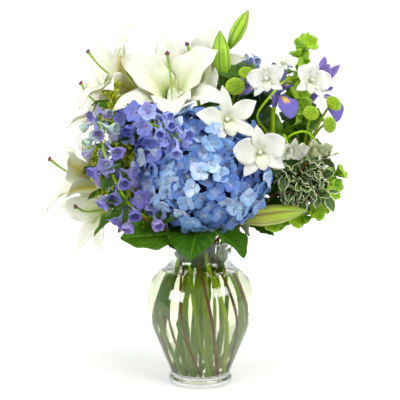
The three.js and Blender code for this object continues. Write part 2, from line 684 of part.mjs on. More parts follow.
const BELLS = [
  {
    name: "bells_high", ring: "outer", neck: 82.5, radius: 2.2, pairs: 6, from: 0.66, size: 1.25,
    above: [[34, 50, 222], [98, 44, 288], [129, 6, 328], [130, -12, 364], [119, -10, 402], [135, -5, 442]],
  },
  {
    name: "bells_low", ring: "outer", neck: 330, radius: 2.2, pairs: 5, from: 0.68, size: 1.1,
    above: [[56, -25, 213], [104, -26, 219], [146, -30, 230], [166, -30, 256], [172, -24, 278]],
  },
];

const PITTOSPORUM = {
  name: "pittosporum", ring: "outer", neck: 307.5, radius: 1.8,
  above: [[44, -38, 206], [84, -38, 244], [118, -44, 272], [128, -70, 292]],
  twigs: [[128, -64, 260], [160, -34, 298], [158, -52, 250], [104, -60, 276]],
};

const GOLDENRODS = [
  {
    name: "goldenrod_high", ring: "outer", neck: 195, radius: 1.7, branches: 7, from: 0.66, reach: 27,
    above: [[-48, -10, 210], [-82, -22, 262], [-102, -24, 325], [-108, -28, 372]],
  },
  {
    name: "goldenrod_low", ring: "outer", neck: 217.5, radius: 1.7, branches: 7, from: 0.62, reach: 25,
    above: [[-50, -28, 208], [-92, -38, 236], [-120, -38, 268], [-134, -38, 298]],
  },
];

// Broad leaves, each given by where it joins its stem, the way it sets off, its length, width and droop.
const LEAFY = [
  {
    name: "hydrangea_stem", ring: "middle", neck: 270, radius: 4,
    above: [[1, -24, 206], [3, -42, 230]],
    shoots: [[2, -47, 213]],
    leaves: [
      { at: [1, -46, 212], bearing: -14, rise: 6, roll: 4, length: 76, width: 66, droop: 66 },
      { at: [3, -45, 213], bearing: 50, rise: 6, roll: -6, length: 80, width: 58, droop: 66 },
    ],
  },
  {
    name: "leafy_left", ring: "outer", neck: 262.5, radius: 2,
    above: [[-16, -50, 204], [-46, -62, 211], [-84, -48, 232]],
    shoots: [],
    leaves: [
      { at: [-24, -60, 206], bearing: -80, rise: 4, roll: -42, length: 76, width: 56, droop: 26 },
      { at: [-83, -48, 231], bearing: -84, rise: 0, roll: 24, length: 62, width: 44, droop: 66 },
    ],
  },
  {
    name: "leafy_back_right", ring: "outer", neck: 105, radius: 2.2,
    above: [[-2, 56, 212], [24, 84, 270], [62, 84, 330], [84, 66, 352]],
    shoots: [],
    leaves: [
      { at: [2, 62, 222], bearing: 160, rise: 6, roll: 0, length: 84, width: 62, droop: 66 },
      { at: [18, 78, 256], bearing: 118, rise: 10, roll: 0, length: 82, width: 58, droop: 50 },
      { at: [34, 85, 286], bearing: 182, rise: 34, roll: 0, length: 78, width: 56, droop: 56 },
      { at: [62, 84, 330], bearing: 150, rise: 50, roll: 0, length: 72, width: 52, droop: 50 },
      { at: [64, 66, 345], bearing: 84, rise: -22, roll: 62, length: 62, width: 46, droop: 20 },
      { at: [44, 74, 345], bearing: 190, rise: 72, roll: 0, length: 66, width: 48, droop: 34 },
    ],
  },
  {
    name: "leafy_back_left", ring: "outer", neck: 127.5, radius: 2.2,
    above: [[-34, 52, 212], [-54, 84, 262], [-50, 96, 322], [-30, 92, 374]],
    shoots: [],
    leaves: [
      { at: [-38, 60, 222], bearing: 214, rise: 4, roll: 0, length: 84, width: 60, droop: 62 },
      { at: [-52, 80, 256], bearing: 252, rise: 10, roll: 0, length: 76, width: 54, droop: 50 },
      { at: [-54, 91, 288], bearing: 178, rise: 20, roll: 0, length: 78, width: 56, droop: 58 },
      { at: [-50, 96, 322], bearing: 226, rise: 40, roll: 0, length: 72, width: 50, droop: 50 },
      { at: [-32, 92, 368], bearing: 170, rise: 62, roll: 0, length: 62, width: 44, droop: 40 },
    ],
  },
];

// ---------- Building ----------

const MATERIALS = {
  glass: { color: 0xe8f0ee, roughness: 0.03, metalness: 0, transparent: true, opacity: 0.35 },
  water: { color: 0xdfeeea, roughness: 0.02, metalness: 0, transparent: true, opacity: 0.4 },
  stem: { color: 0x6f9a2e, roughness: 0.5, metalness: 0 },
  leaf: { color: 0x2f5a1c, roughness: 0.45, metalness: 0 },
  hydrangea: { color: 0x7ba4dc, roughness: 0.65, metalness: 0 },
  lily: { color: 0xf6f5ec, roughness: 0.55, metalness: 0 },
  pistil: { color: 0x9dbb3a, roughness: 0.45, metalness: 0 },
  delphinium: { color: 0x7f7ed0, roughness: 0.6, metalness: 0 },
  orchid: { color: 0xfbfbf6, roughness: 0.5, metalness: 0 },
  iris: { color: 0x6a58b8, roughness: 0.55, metalness: 0 },
  button: { color: 0xa6c81e, roughness: 0.7, metalness: 0 },
  bells: { color: 0x6fae2a, roughness: 0.6, metalness: 0 },
  pittosporum: { color: 0x55703f, roughness: 0.45, metalness: 0 },
  goldenrod: { color: 0xa3aa18, roughness: 0.8, metalness: 0 },
};

const bouquet = new THREE.Group();
const finished = []; // each finished solid with its swollen form

// Adds a node, pared back from every node made before it, and once more where simplifying moved it back.
function add(name, material, body) {
  const box = body.boundingBox();
  const apart = (other) => [0, 1, 2].some((k) => other.max[k] < box.min[k] || box.max[k] < other.min[k]);
  const near = finished.filter((other) => !apart(other.box));
  const cut = near.reduce((left, other) => left.subtract(other.swollen), body);
  const simple = cut.asOriginal().simplify(material === "lily" ? FINEST_IN_LILIES : FINEST);
  const crossing = near.filter((other) => simple.intersect(other.body).volume() > SPECK);
  const pared = largest(crossing.reduce((left, other) => left.subtract(other.swollen), simple));
  const bigger = fuse([swollen(pared), pared]);
  finished.push({ body: pared, swollen: bigger, box: bigger.boundingBox() });
  const mesh = pared.getMesh();
  const geometry = new THREE.BufferGeometry();
  geometry.setAttribute("position", new THREE.BufferAttribute(new Float32Array(mesh.vertProperties), 3));
  geometry.setIndex(new THREE.BufferAttribute(new Uint32Array(mesh.triVerts), 1));
  geometry.computeVertexNormals();
  const node = new THREE.Mesh(geometry, new THREE.MeshStandardMaterial(MATERIALS[material]));
  node.name = name;
  bouquet.add(node);
}

add("vase", "glass", vase());

// Leafy stems and stalks come first, because flowers give way to them.
for (const plant of LEAFY) {
  const rail = railOf(plant);
  const shoots = plant.shoots.map((to) => twig(fork(rail, to), to, 2, 1.6, 5));
  const leaves = plant.leaves.flatMap(({ at, bearing, rise, roll, length, width, droop }) => {
    const blade = leaf({ ...BROAD, length, width, lean: [0, droop] });
    return [put(blade, facing(at, bearing, rise, roll)), twig(fork(rail, at), at, 1.4, 1.2, 4)];
  });
  add(plant.name, "leaf", fuse([stem(plant), ...shoots, ...leaves]));
}
for (const stalk of LILY_STALKS) {
  const rail = railOf(stalk);
  const branches = stalk.shoots.map((to) => twig(fork(rail, to), to, stalk.radius * 0.8, 2.4, 5));
  for (const lily of LILIES.filter(({ name }) => stalk.carries.includes(name))) {
    const ends = seat(lily, THROAT_BACK);
    branches.push(tube([fork(rail, ends[0]), ...ends], 2.6, 3, 5));
  }
  const buds = stalk.buds.map((b) => put(lilyBud(b.length, b.width), facing(b.at, b.bearing, b.rise)));
  add(stalk.name, "stem", fuse([stem(stalk), ...branches, ...buds]));
}
for (const iris of IRISES) {
  const above = [...iris.above, ...seat(iris, OVARY_BACK)];
  add(`${iris.name}_stem`, "stem", stem({ ...iris, above }));
}

for (const spray of BELLS) add(spray.name, "bells", fuse([stem(spray), ...bellPairs(railOf(spray), spray)]));

for (const spray of BUTTONS) {
  const heads = spray.heads.flatMap(({ at, bearing, rise, radius }) => [
    put(buttonHead(radius), facing(at, bearing, rise)),
    twig(fork(railOf(spray), at), at, 1.6, 1.4, 4),
  ]);
  add(spray.name, "button", fuse([stem(spray), ...heads]));
}
for (const spray of ORCHIDS) {
  const rail = railOf(spray);
  const stalks = spray.blooms.map((bloom) => {
    const ends = seat(bloom, ORCHID_BACK);
    return tube([fork(rail, ends[0]), ...ends], 1.3, 2, 4);
  });
  add(`${spray.name}_stem`, "stem", fuse([stem(spray), ...stalks]));
  spray.blooms.forEach((bloom, i) => {
    const place = facing(bloom.base, bloom.bearing, bloom.rise, bloom.roll);
    add(`${spray.name}_bloom_${i + 1}`, "orchid", put(orchidBloom(bloom), place));
  });
}
for (const plant of GOLDENRODS) {
  add(plant.name, "goldenrod", fuse([stem(plant), ...goldenrodPlume(railOf(plant), plant)]));
}
for (const spike of DELPHINIUMS) {
  add(spike.name, "delphinium", fuse([stem(spike), ...delphiniumFlorets(railOf(spike), spike)]));
}
{
  const leaves = PITTOSPORUM.twigs.flatMap((to) => {
    const from = fork(railOf(PITTOSPORUM), to);
    return [twig(from, to, 1.3, 1, 4), ...twigLeaves(from, to, 5, { length: 21, width: 12, lean: [0, 30] })];
  });
  add(PITTOSPORUM.name, "pittosporum", fuse([stem(PITTOSPORUM), ...leaves]));
}

for (const lily of LILIES) {
  const here = facing(lily.base, lily.bearing, lily.rise, lily.roll);
  add(`${lily.name}_pistil`, "pistil", put(lilyPistil(lily), here));
}
for (const lily of LILIES) {
  const here = facing(lily.base, lily.bearing, lily.rise, lily.roll);
  add(`${lily.name}_petals`, "lily", put(lilyPetals(lily), here));
}
for (const iris of IRISES) {
  const here = facing(iris.base, iris.bearing, iris.rise, iris.roll);
  add(`${iris.name}_bloom`, "iris", put(irisBloom(iris), here));
}
add("hydrangea_head", "hydrangea", hydrangeaHead());
add("water", "water", water());

export default bouquet;
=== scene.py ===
# %% [markdown]
# # A bouquet of hydrangea and lilies in a glass vase
# One blue hydrangea head sits in front, white lilies stand above and to the left of it, and delphinium,
# orchids, iris, button chrysanthemums, bells of Ireland, goldenrod and pittosporum fill the rest. The
# plain solids of the part give every flower its place. This lesson replaces each of them with petals,
# leaves and glass that look grown or blown, and keeps their form.

# %% Load the part as the frame
import math

import bpy
import numpy as np
from mathutils import Matrix, Vector


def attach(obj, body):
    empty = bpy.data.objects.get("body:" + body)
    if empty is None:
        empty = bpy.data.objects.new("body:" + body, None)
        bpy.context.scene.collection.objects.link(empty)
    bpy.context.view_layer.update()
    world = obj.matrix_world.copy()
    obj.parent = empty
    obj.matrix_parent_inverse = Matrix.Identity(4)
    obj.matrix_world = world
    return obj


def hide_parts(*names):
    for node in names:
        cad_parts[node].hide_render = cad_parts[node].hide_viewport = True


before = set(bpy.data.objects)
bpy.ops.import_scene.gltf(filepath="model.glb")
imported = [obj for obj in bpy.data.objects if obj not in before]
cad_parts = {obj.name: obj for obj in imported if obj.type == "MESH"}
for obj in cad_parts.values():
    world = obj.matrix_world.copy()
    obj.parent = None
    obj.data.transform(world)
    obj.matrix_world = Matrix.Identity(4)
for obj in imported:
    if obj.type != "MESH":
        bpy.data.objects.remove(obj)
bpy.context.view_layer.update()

# %% [markdown]
# Flowers are easiest to think of in millimetres, so all shapes are written in them and turned into
# metres at the last moment. Every random choice comes from a generator with a fixed seed, so the
# bouquet is the same each time the script runs.

# %% Units, chance and colours
MM = 0.001
GOLDEN_ANGLE = 137.508  # degrees from one leaf or floret to the next
chance = np.random.default_rng(20)


def shade(code):
    """A web colour such as 7FA3DE as the linear colour that a shader works with."""
    parts = [int(code[i:i + 2], 16) / 255 for i in (0, 2, 4)]
    return [c / 12.92 if c <= 0.04045 else ((c + 0.055) / 1.055) ** 2.4 for c in parts] + [1.0]


print("a sky blue in linear light:", np.round(shade("8FB4E8"), 3).tolist())

# %% [markdown]
# Each bloom is drawn upright, with its own +Z looking out of the flower, and is then carried to its
# place. Its bearing says where it looks, 0 to the viewer and 90 to the viewer's right, and its rise says
# how far it looks up.

# %% Carry a shape to its place
def facing(at, bearing, rise, roll=0.0):
    turn = Matrix.Rotation(math.radians(bearing), 4, "Z")
    turn = turn @ Matrix.Rotation(math.radians(90 - rise), 4, "X")
    turn = turn @ Matrix.Rotation(math.radians(roll), 4, "Z")
    return np.array(Matrix.Translation(Vector(at)) @ turn)


def looking(at, direction, roll=0.0):
    """The place of a shape at a point, with its +Z along a direction."""
    x, y, z = np.asarray(direction, float) / np.linalg.norm(direction)
    return facing(at, math.degrees(math.atan2(x, -y)), math.degrees(math.asin(np.clip(z, -1, 1))), roll)


def carried(points, place):
    return points @ place[:3, :3].T + place[:3, 3]


print("a bloom at bearing 0 looks along", np.round(facing((0, 0, 0), 0, 0)[:3, 2], 3).tolist())

# %% [markdown]
# A piece is gathered from many small forms: petals, tubes, beads. Each form is four arrays: points,
# faces, whether a face is smooth, and paint. Paint is four numbers at each point that the finishes read:
# how far along the petal it is, where across it, the petal's own tone, and which side of it, 0 on its
# back and 1 on its front. A face with three corners has -1 as its fourth.

# %% Gather forms into a piece
class Bunch:
    def __init__(self):
        self.forms = []
        self.count = 0

    def add(self, form, place=None, tone=None):
        points, faces, smooth, paint = form
        points = points if place is None else carried(points, place)
        if tone is not None:
            paint = paint.copy()
            paint[:, 2] = tone
        self.forms.append((points, np.where(faces < 0, -1, faces + self.count), smooth, paint))
        self.count += len(points)
        return self

    def carry(self, place):
        """The whole bunch taken to its place."""
        self.forms = [(carried(points, place), *rest) for points, *rest in self.forms]
        return self

    def piece(self, name, finish, slot, *nodes):
        points, faces, smooth, paint = (np.concatenate(part) for part in zip(*self.forms))
        corners = faces[faces >= 0]
        totals = (faces >= 0).sum(axis=1)
        mesh = bpy.data.meshes.new(name)
        mesh.vertices.add(len(points))
        mesh.vertices.foreach_set("co", (points * MM).astype(np.float32).ravel())
        mesh.loops.add(len(corners))
        mesh.loops.foreach_set("vertex_index", corners.astype(np.int32))
        mesh.polygons.add(len(faces))
        mesh.polygons.foreach_set("loop_start", np.r_[0, totals.cumsum()[:-1]].astype(np.int32))
        mesh.polygons.foreach_set("use_smooth", smooth)
        mesh.update(calc_edges=True)
        mesh.attributes.new("paint", "FLOAT_COLOR", "POINT")
        mesh.attributes["paint"].data.foreach_set("color", paint.astype(np.float32).ravel())
        mesh.materials.append(finish)
        body = bpy.data.objects.new(name, mesh)
        bpy.context.scene.collection.objects.link(body)
        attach(body, "root")
        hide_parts(*nodes)
        print(f"{name}: {len(self.forms)} forms, {2 * len(faces) - int((totals == 3).sum())} triangles")
        return body


# %% [markdown]
# A petal or leaf is a sheet under a millimetre thick. Its rows of points are given along its middle, and
# it is closed into a plate with a back and a front, so that it casts a true shadow and lets a
# little light through. The rim is kept flat-shaded, which keeps the two sides clean.

# %% Close a sheet of points into a plate
def plate(grid, thickness=0.7, tone=0.5):
    rows, columns, _ = grid.shape
    along = np.gradient(grid, axis=0)
    across = np.gradient(grid, axis=1)
    normal = np.cross(across, along)
    normal /= np.linalg.norm(normal, axis=2, keepdims=True) + 1e-12
    normal[-1] = normal[-2]
    half = normal * thickness / 2
    points = np.concatenate([(grid + half).reshape(-1, 3), (grid - half).reshape(-1, 3)])
    index = np.arange(rows * columns).reshape(rows, columns)
    a, b, c, d = index[:-1, :-1], index[:-1, 1:], index[1:, 1:], index[1:, :-1]
    back = np.stack([a, b, c, d], -1).reshape(-1, 4)
    front = back[:, ::-1] + rows * columns
    edge = np.concatenate([index[0], index[1:, -1], index[-1, -2::-1], index[-2:0:-1, 0]])
    after = np.roll(edge, -1)
    rim = np.stack([after, edge, edge + rows * columns, after + rows * columns], -1)
    faces = np.concatenate([back, front, rim])
    smooth = np.r_[np.ones(2 * len(back), bool), np.zeros(len(rim), bool)]
    t, s = np.meshgrid(np.linspace(0, 1, rows), np.linspace(0, 1, columns), indexing="ij")
    one = np.stack([t.ravel(), s.ravel(), np.full(t.size, tone)], -1)
    sides = np.r_[np.zeros(t.size), np.ones(t.size)][:, None]
    return points, faces, smooth, np.hstack([np.tile(one, (2, 1)), sides])


# %% [markdown]
# Nearly every petal of the bouquet is one rule with other numbers: it leaves the flower's axis at one
# angle and arrives at another, it is widest somewhere along its length, its foot may wrap round the axis
# as in a trumpet, and its edges may ruffle. A person with clay would do the same: roll a strip, widen it,
# curl it back.

# %% The rule for a petal
LEAN_STEPS = 32  # the lean is averaged over this many steps up to each row
TIP = 0.03  # a petal never gets thinner than this share of its width
BARE_FOOT = 0.08  # the share of a toothed leaf, from its foot, that has no teeth


def petal(length, width, lean=(0, 60), turn=0, bend=1.0, base=0.2, fullest=0.55, blunt=0.8, cup=0.0,
          ruffle=0.0, waves=2.0, phase=0.0, root=0.0, wrap=0.0, twist=0.0, sway=0.0, rows=12, columns=7,
          crease=0.0, saw=0.0, teeth=18):
    """The grid of points of one petal or leaf, in millimetres and degrees.

    It leans from the axis by the first angle of lean at its foot and by the second at its tip, and bend
    says how late that change comes. It starts at root from the axis, is widest at fullest, and base and
    blunt shape its foot and its tip. cup lifts the edges, crease sinks the middle, wrap bends the foot
    round the axis, and ruffle, saw, twist and sway do what their names say.
    """
    t = np.linspace(0, 1, rows)[:, None]
    s = np.linspace(-1, 1, columns)[None, :]
    steps = (np.arange(LEAN_STEPS) + 0.5) / LEAN_STEPS
    lean_at = lambda share: np.radians(lean[0] + (lean[1] - lean[0]) * share ** bend)
    far = root + length * t * np.sin(lean_at(t * steps)).mean(axis=1, keepdims=True)
    high = length * t * np.cos(lean_at(t * steps)).mean(axis=1, keepdims=True)
    swell = np.sin(np.pi * t ** (math.log(0.5) / math.log(fullest))).clip(0) ** blunt
    half = width / 2 * np.maximum(base * (1 - t) + (1 - base * (1 - fullest)) * swell, TIP)
    half = half * (1 + saw * (1 - (t * teeth) % 1) * (t > BARE_FOOT))
    curl = wrap * (1 - t) ** 1.5 / np.maximum(far, 1) + 1e-6
    edge = np.sin(2 * np.pi * waves * t + phase + 1.9 * np.sign(s)) * np.abs(s) ** 2.5
    rolled = (1 - np.cos(s * half * curl)) / curl
    lift = rolled + cup * half * s * s + ruffle * edge * np.sin(np.pi * t) ** 0.5
    lift = lift - crease * half * np.exp(-(s * 4) ** 2)
    side = np.sin(s * half * curl) / curl
    spin = np.radians(twist) * t
    side, lift = side * np.cos(spin) - lift * np.sin(spin), side * np.sin(spin) + lift * np.cos(spin)
    side = side + sway * t * t
    out, up = far - lift * np.cos(lean_at(t)), high + lift * np.sin(lean_at(t))
    angle = math.radians(turn)
    return np.stack([out * math.cos(angle) - side * math.sin(angle),
                     out * math.sin(angle) + side * math.cos(angle), up], -1)


print("rows and points across of a petal:", petal(20, 10).shape[:2])

# %% [markdown]
# Stems, styles and flower stalks are tubes along a smooth line. The line is the same kind of curve that
# the solids' stems follow, so each stem keeps its place in the neck of the vase.

# %% Smooth lines and tubes
PER_SPAN = 24  # points between two knots, before the line is cut into even steps


def smooth_line(knots, count):
    p = np.array(knots, float)
    p = np.vstack([2 * p[0] - p[1], p, 2 * p[-1] - p[-2]])
    u = np.linspace(0, 1, PER_SPAN, endpoint=False)[:, None]
    pieces = []
    for a, b, c, d in zip(p, p[1:], p[2:], p[3:]):
        k = [math.sqrt(max(np.linalg.norm(y - x), 1e-4)) for x, y in ((a, b), (b, c), (c, d))]
        start = ((b - a) / k[0] - (c - a) / (k[0] + k[1]) + (c - b) / k[1]) * k[1]
        end = ((c - b) / k[1] - (d - b) / (k[1] + k[2]) + (d - c) / k[2]) * k[1]
        square = 3 * (c - b) - 2 * start - end
        cube = 2 * (b - c) + start + end
        pieces.append(b + start * u + square * u ** 2 + cube * u ** 3)
    line = np.vstack(pieces + [p[-2:-1]])
    walked = np.r_[0, np.cumsum(np.linalg.norm(np.diff(line, axis=0), axis=1))]
    even = np.linspace(0, walked[-1], count)
    return np.column_stack([np.interp(even, walked, line[:, k]) for k in range(3)])


def tube(line, radius, sides=8, tone=0.5):
    line = np.asarray(line, float)
    radius = np.broadcast_to(np.asarray(radius, float), len(line))
    ahead = np.gradient(line, axis=0)
    ahead /= np.linalg.norm(ahead, axis=1, keepdims=True)
    side = np.cross(ahead[0], (0, 0, 1) if abs(ahead[0][2]) < 0.9 else (1, 0, 0))
    rings = []
    angles = np.linspace(0, 2 * np.pi, sides, endpoint=False)[:, None]
    for at, way, r in zip(line, ahead, radius):
        side = side - way * (side @ way)
        side = side / np.linalg.norm(side)
        rings.append(at + r * (np.cos(angles) * side + np.sin(angles) * np.cross(way, side)))
    return rings_closed(np.array(rings), line[0], line[-1], tone)


def rings_closed(rings, first, last, tone=0.5):
    """Rings of points joined into a skin, with a fan at each end."""
    count, sides, _ = rings.shape
    index = np.arange(count * sides).reshape(count, sides)
    after = np.roll(index, -1, axis=1)
    skin = np.stack([index[:-1], after[:-1], after[1:], index[1:]], -1).reshape(-1, 4)
    none = np.full(sides, -1)
    low = np.stack([after[0], index[0], np.full(sides, count * sides), none], -1)
    top = np.stack([index[-1], after[-1], np.full(sides, count * sides + 1), none], -1)
    points = np.vstack([rings.reshape(-1, 3), first, last])
    t = np.r_[np.repeat(np.linspace(0, 1, count), sides), 0, 1]
    s = np.r_[np.tile(np.arange(sides) / sides, count), 0.5, 0.5]
    paint = np.stack([t, s, np.full(len(t), tone), np.ones(len(t))], -1)
    return points, np.concatenate([skin, low, top]), np.ones(len(skin) + 2 * sides, bool), paint


def turned(profile, sides=12, tone=0.5, ribs=None):
    """A form turned round its +Z, given as radius and height from its lowest point to its highest."""
    profile = np.array(profile, float)
    angles = np.linspace(0, 2 * np.pi, sides, endpoint=False)
    reach = profile[:, :1] * (np.ones(sides) if ribs is None else ribs(angles))[None, :]
    rings = np.stack([reach * np.cos(angles), reach * np.sin(angles),
                      np.repeat(profile[:, 1:], sides, axis=1)], -1)
    return rings_closed(rings, (0, 0, profile[0, 1]), (0, 0, profile[-1, 1]), tone)


def bead(radius, tall=1.0, sides=7, rings=4, tone=0.5):
    """A small round bud or knob, standing on its place."""
    t = np.linspace(0.12, 0.94, rings)
    return turned(np.stack([radius * np.sin(np.pi * t), -radius * tall * np.cos(np.pi * t)], -1), sides, tone)


print("triangles of one bead:", len(bead(1.0)[1]))

# %% [markdown]
# The places of the flowers are the same as in the solids. The stems pass the neck of the vase in two
# rings and twist as they go down, as in a bunch that is tied by hand, so each one is given by its ring,
# its angle at the neck, its radius and the points that it climbs through above the rim.

# %% Where each stem runs
# A ring has its radius at the foot, the belly, the neck and the rim, and its twist in degrees. A stem has
# its ring, its angle at the neck, its own radius and the points above the rim.
RINGS = {"outer": (27, 45, 28.5, 34, 55), "middle": (14, 21, 14, 18, -35), "centre": (0, 0, 0, 0, 0)}
STEMS = {
    "hydrangea_stem": ("middle", 270, 4, [[1, -24, 206], [3, -42, 230]]),
    "leafy_left": ("outer", 262.5, 2, [[-16, -50, 204], [-46, -62, 211], [-84, -48, 232]]),
    "leafy_back_right": ("outer", 105, 2.2, [[-2, 56, 212], [24, 84, 270], [62, 84, 330], [84, 66, 352]]),
    "leafy_back_left": ("outer", 127.5, 2.2, [[-34, 52, 212], [-54, 84, 262], [-50, 96, 322],
                                             [-30, 92, 374]]),
    "lily_stalk_top": ("middle", 90, 3.6, [[2, 36, 225], [6, 46, 290], [16, 42, 345], [28, 12, 388]]),
    "lily_stalk_left": ("middle", 150, 3.6, [[-25, 25, 222], [-44, 42, 280], [-52, 38, 326]]),
    "lily_stalk_low": ("outer", 172.5, 3.6, [[-52, 8, 208], [-68, 8, 220], [-80, 8, 232]]),
    "lily_stalk_right": ("outer", 285, 3.2, [[20, -37, 206], [34, -42, 216], [48, -45, 221]]),
    "bells_high": ("outer", 82.5, 2.2, [[34, 50, 222], [98, 44, 288], [129, 6, 328], [130, -12, 364],
                                        [119, -10, 402], [135, -5, 442]]),
    "bells_low": ("outer", 330, 2.2, [[56, -25, 213], [104, -26, 219], [146, -30, 230], [166, -30, 256],
                                      [172, -24, 278]]),
    "button_spray_right": ("outer", 352.5, 2, [[60, -8, 215], [112, -18, 262], [136, -34, 318]]),
    "button_spray_top": ("centre", 0, 2, [[8, 16, 222], [28, 40, 290], [38, 14, 350]]),
    "orchid_spray_high": ("middle", 330, 1.9, [[34, 8, 215], [88, 24, 262], [88, 4, 320], [70, -48, 350],
                                               [84, -62, 372], [104, -48, 392], [126, -36, 398]]),
    "orchid_spray_low": ("outer", 37.5, 1.9, [[60, 20, 210], [100, 18, 250], [102, -32, 296],
                                              [108, -62, 324], [126, -60, 330], [142, -46, 320]]),
    "goldenrod_high": ("outer", 195, 1.7, [[-48, -10, 210], [-82, -22, 262], [-102, -24, 325],
                                           [-108, -28, 372]]),
    "goldenrod_low": ("outer", 217.5, 1.7, [[-50, -28, 208], [-92, -38, 236], [-120, -38, 268],
                                            [-134, -38, 298]]),
    "delphinium_left": ("outer", 240, 2.6, [[-44, -50, 212], [-86, -92, 246], [-112, -94, 300],
                                            [-124, -62, 350]]),
    "delphinium_front": ("middle", 210, 2.6, [[-34, 5, 222], [-76, 14, 285], [-78, -24, 328],
                                              [-60, -84, 340], [-24, -126, 320]]),
    "delphinium_top": ("middle", 30, 2.4, [[28, 32, 230], [46, 44, 290], [56, 34, 360], [70, 14, 418]]),
    "pittosporum": ("outer", 307.5, 1.8, [[44, -38, 206], [84, -38, 244], [118, -44, 272], [128, -70, 292]]),
    "iris_near": ("outer", 15, 3.2, [[60, 9, 219], [84, 2, 260], [92, -10, 322]]),
    "iris_far": ("outer", 60, 3.2, [[58, 36, 218], [118, 38, 285]]),
}

FOOT_LEVEL, BELLY_LEVEL, NECK_LEVEL, RIM_LEVEL = 12.4, 89.5, 167, 192
TWIST_AT_BELLY = 0.45
FORK_DROP = 0.55  # how far below its flower a side stalk leaves, as a share of the gap to the stem


def route(ring, neck, above):
    foot, belly, throat, rim_radius, twist = RINGS[ring]
    through = [(foot, neck + twist, FOOT_LEVEL), (belly, neck + twist * TWIST_AT_BELLY, BELLY_LEVEL),
               (throat, neck, NECK_LEVEL), (rim_radius, neck, RIM_LEVEL)]
    ring_points = [[r * math.cos(math.radians(a)), r * math.sin(math.radians(a)), z] for r, a, z in through]
    return ring_points + above


def stem_line(name, more=(), count=90):
    ring, neck, _, above = STEMS[name]
    return smooth_line(route(ring, neck, above + [list(p) for p in more]), count)


def nearest_fork(line, target):
    """The point of a stem where a side stalk to a target leaves it."""
    gap = np.linalg.norm(line - np.asarray(target, float), axis=1)
    at = int(gap.argmin())
    length = np.linalg.norm(np.diff(line, axis=0), axis=1).mean()
    return line[max(at - int(round(FORK_DROP * gap[at] / length)), len(line) // 2)]


def seat(base, bearing, rise, back):
    """The last stretch of the stalk behind a bloom, square to the bloom's back."""
    axis = facing((0, 0, 0), bearing, rise)[:3, 2]
    return [np.array(base) - axis * (back + 14), np.array(base) - axis * (back - 1.5)]


def spiral(line, count, first, last=1.0, turn=0.0):
    """Places up a stem, each with the stem's direction there and the way out from it."""
    ahead = np.gradient(line, axis=0)
    ahead /= np.linalg.norm(ahead, axis=1, keepdims=True)
    found = []
    for i in range(count):
        share = i / max(count - 1, 1)
        k = (first + (last - first) * share) * (len(line) - 1)
        at = line[int(k)] + (line[min(int(k) + 1, len(line) - 1)] - line[int(k)]) * (k % 1)
        way = ahead[int(k)]
        level = np.cross((0, 0, 1), way)
        level /= np.linalg.norm(level) + 1e-9
        angle = math.radians(i * GOLDEN_ANGLE + turn)
        out = level * math.cos(angle) + np.cross(way, level) * math.sin(angle)
        found.append((at, way, out, share, i))
    return found


print("stems:", len(STEMS), "longest in mm:",
      round(max(np.linalg.norm(np.diff(stem_line(n), axis=0), axis=1).sum() for n in STEMS)))

# %% [markdown]
# The camera stands 1.1 metres in front, a little above the middle of the bouquet, with a long lens, as a
# photographer of flowers would have it: petals near the lens are then hardly larger than those behind.

# %% Camera
MIDDLE = Vector((0, 0, 0.24))  # of the bouquet with its vase
camera = bpy.data.objects.new("camera", bpy.data.cameras.new("camera"))
bpy.context.scene.collection.objects.link(camera)
camera.location = (0, -1.1, 0.35)
camera.rotation_euler = (MIDDLE - camera.location).to_track_quat("-Z", "Y").to_euler()
camera.data.sensor_width = 36
camera.data.lens = 76.5
camera.data.shift_x = -0.00125
bpy.context.scene.camera = camera
bpy.context.scene.view_settings.view_transform = "Standard"
print("lens", camera.data.lens, "mm at", round(camera.location.length, 2), "m")

# %% [markdown]
# Clear glass shows nothing of its own: one sees the room bent through it. So the light matters more for
# the vase than its material does. Soft boxes at the front left and front right leave the pale windows on
# its shoulder, and a third one lights the flowers from above. Behind the vase the room is white, and to
# the sides and the front it is greyer, which draws the dark outline of the glass.

# %% Light
def soft_box(name, bearing, rise, distance, wide, tall, watts):
    light = bpy.data.objects.new(name, bpy.data.lights.new(name, "AREA"))
    bpy.context.scene.collection.objects.link(light)
    light.data.shape = "RECTANGLE"
    light.data.size = wide
    light.data.size_y = tall
    light.data.energy = watts
    way = Vector(facing((0, 0, 0), bearing, rise)[:3, 2])
    light.location = Vector((0, 0, 0.2)) + way * distance
    light.rotation_euler = way.to_track_quat("Z", "Y").to_euler()
    return light


soft_box("box_left", -54, 11, 1.3, 0.8, 0.42, 10.0)
soft_box("box_right", 47, 24, 1.3, 0.9, 0.6, 10.5)
soft_box("box_top", 10, 72, 1.3, 0.9, 0.9, 8.5)

FRONT_GREY, BACK_WHITE = 0.36, 0.85  # how strongly the room lights from the front and from behind
SEEN_WALL = 1.06  # the wall as the camera sees it, a clean white
world = bpy.data.worlds.new("studio")
world.use_nodes = True
bpy.context.scene.world = world
nodes, links = world.node_tree.nodes, world.node_tree.links
direction = nodes.new("ShaderNodeTexCoord")
split = nodes.new("ShaderNodeSeparateXYZ")
depth = nodes.new("ShaderNodeMapRange")
depth.inputs["From Min"].default_value = -0.25
depth.inputs["From Max"].default_value = 0.45
depth.inputs["To Min"].default_value = FRONT_GREY
depth.inputs["To Max"].default_value = BACK_WHITE
seen = nodes.new("ShaderNodeLightPath")
pick = nodes.new("ShaderNodeMix")
pick.inputs["B"].default_value = SEEN_WALL
links.new(direction.outputs["Generated"], split.inputs["Vector"])
links.new(split.outputs["Y"], depth.inputs["Value"])
links.new(depth.outputs["Result"], pick.inputs["A"])
links.new(seen.outputs["Is Camera Ray"], pick.inputs["Factor"])
links.new(pick.outputs["Result"], nodes["Background"].inputs["Strength"])
nodes["Background"].inputs["Color"].default_value = (1.0, 1.0, 1.0, 1.0)

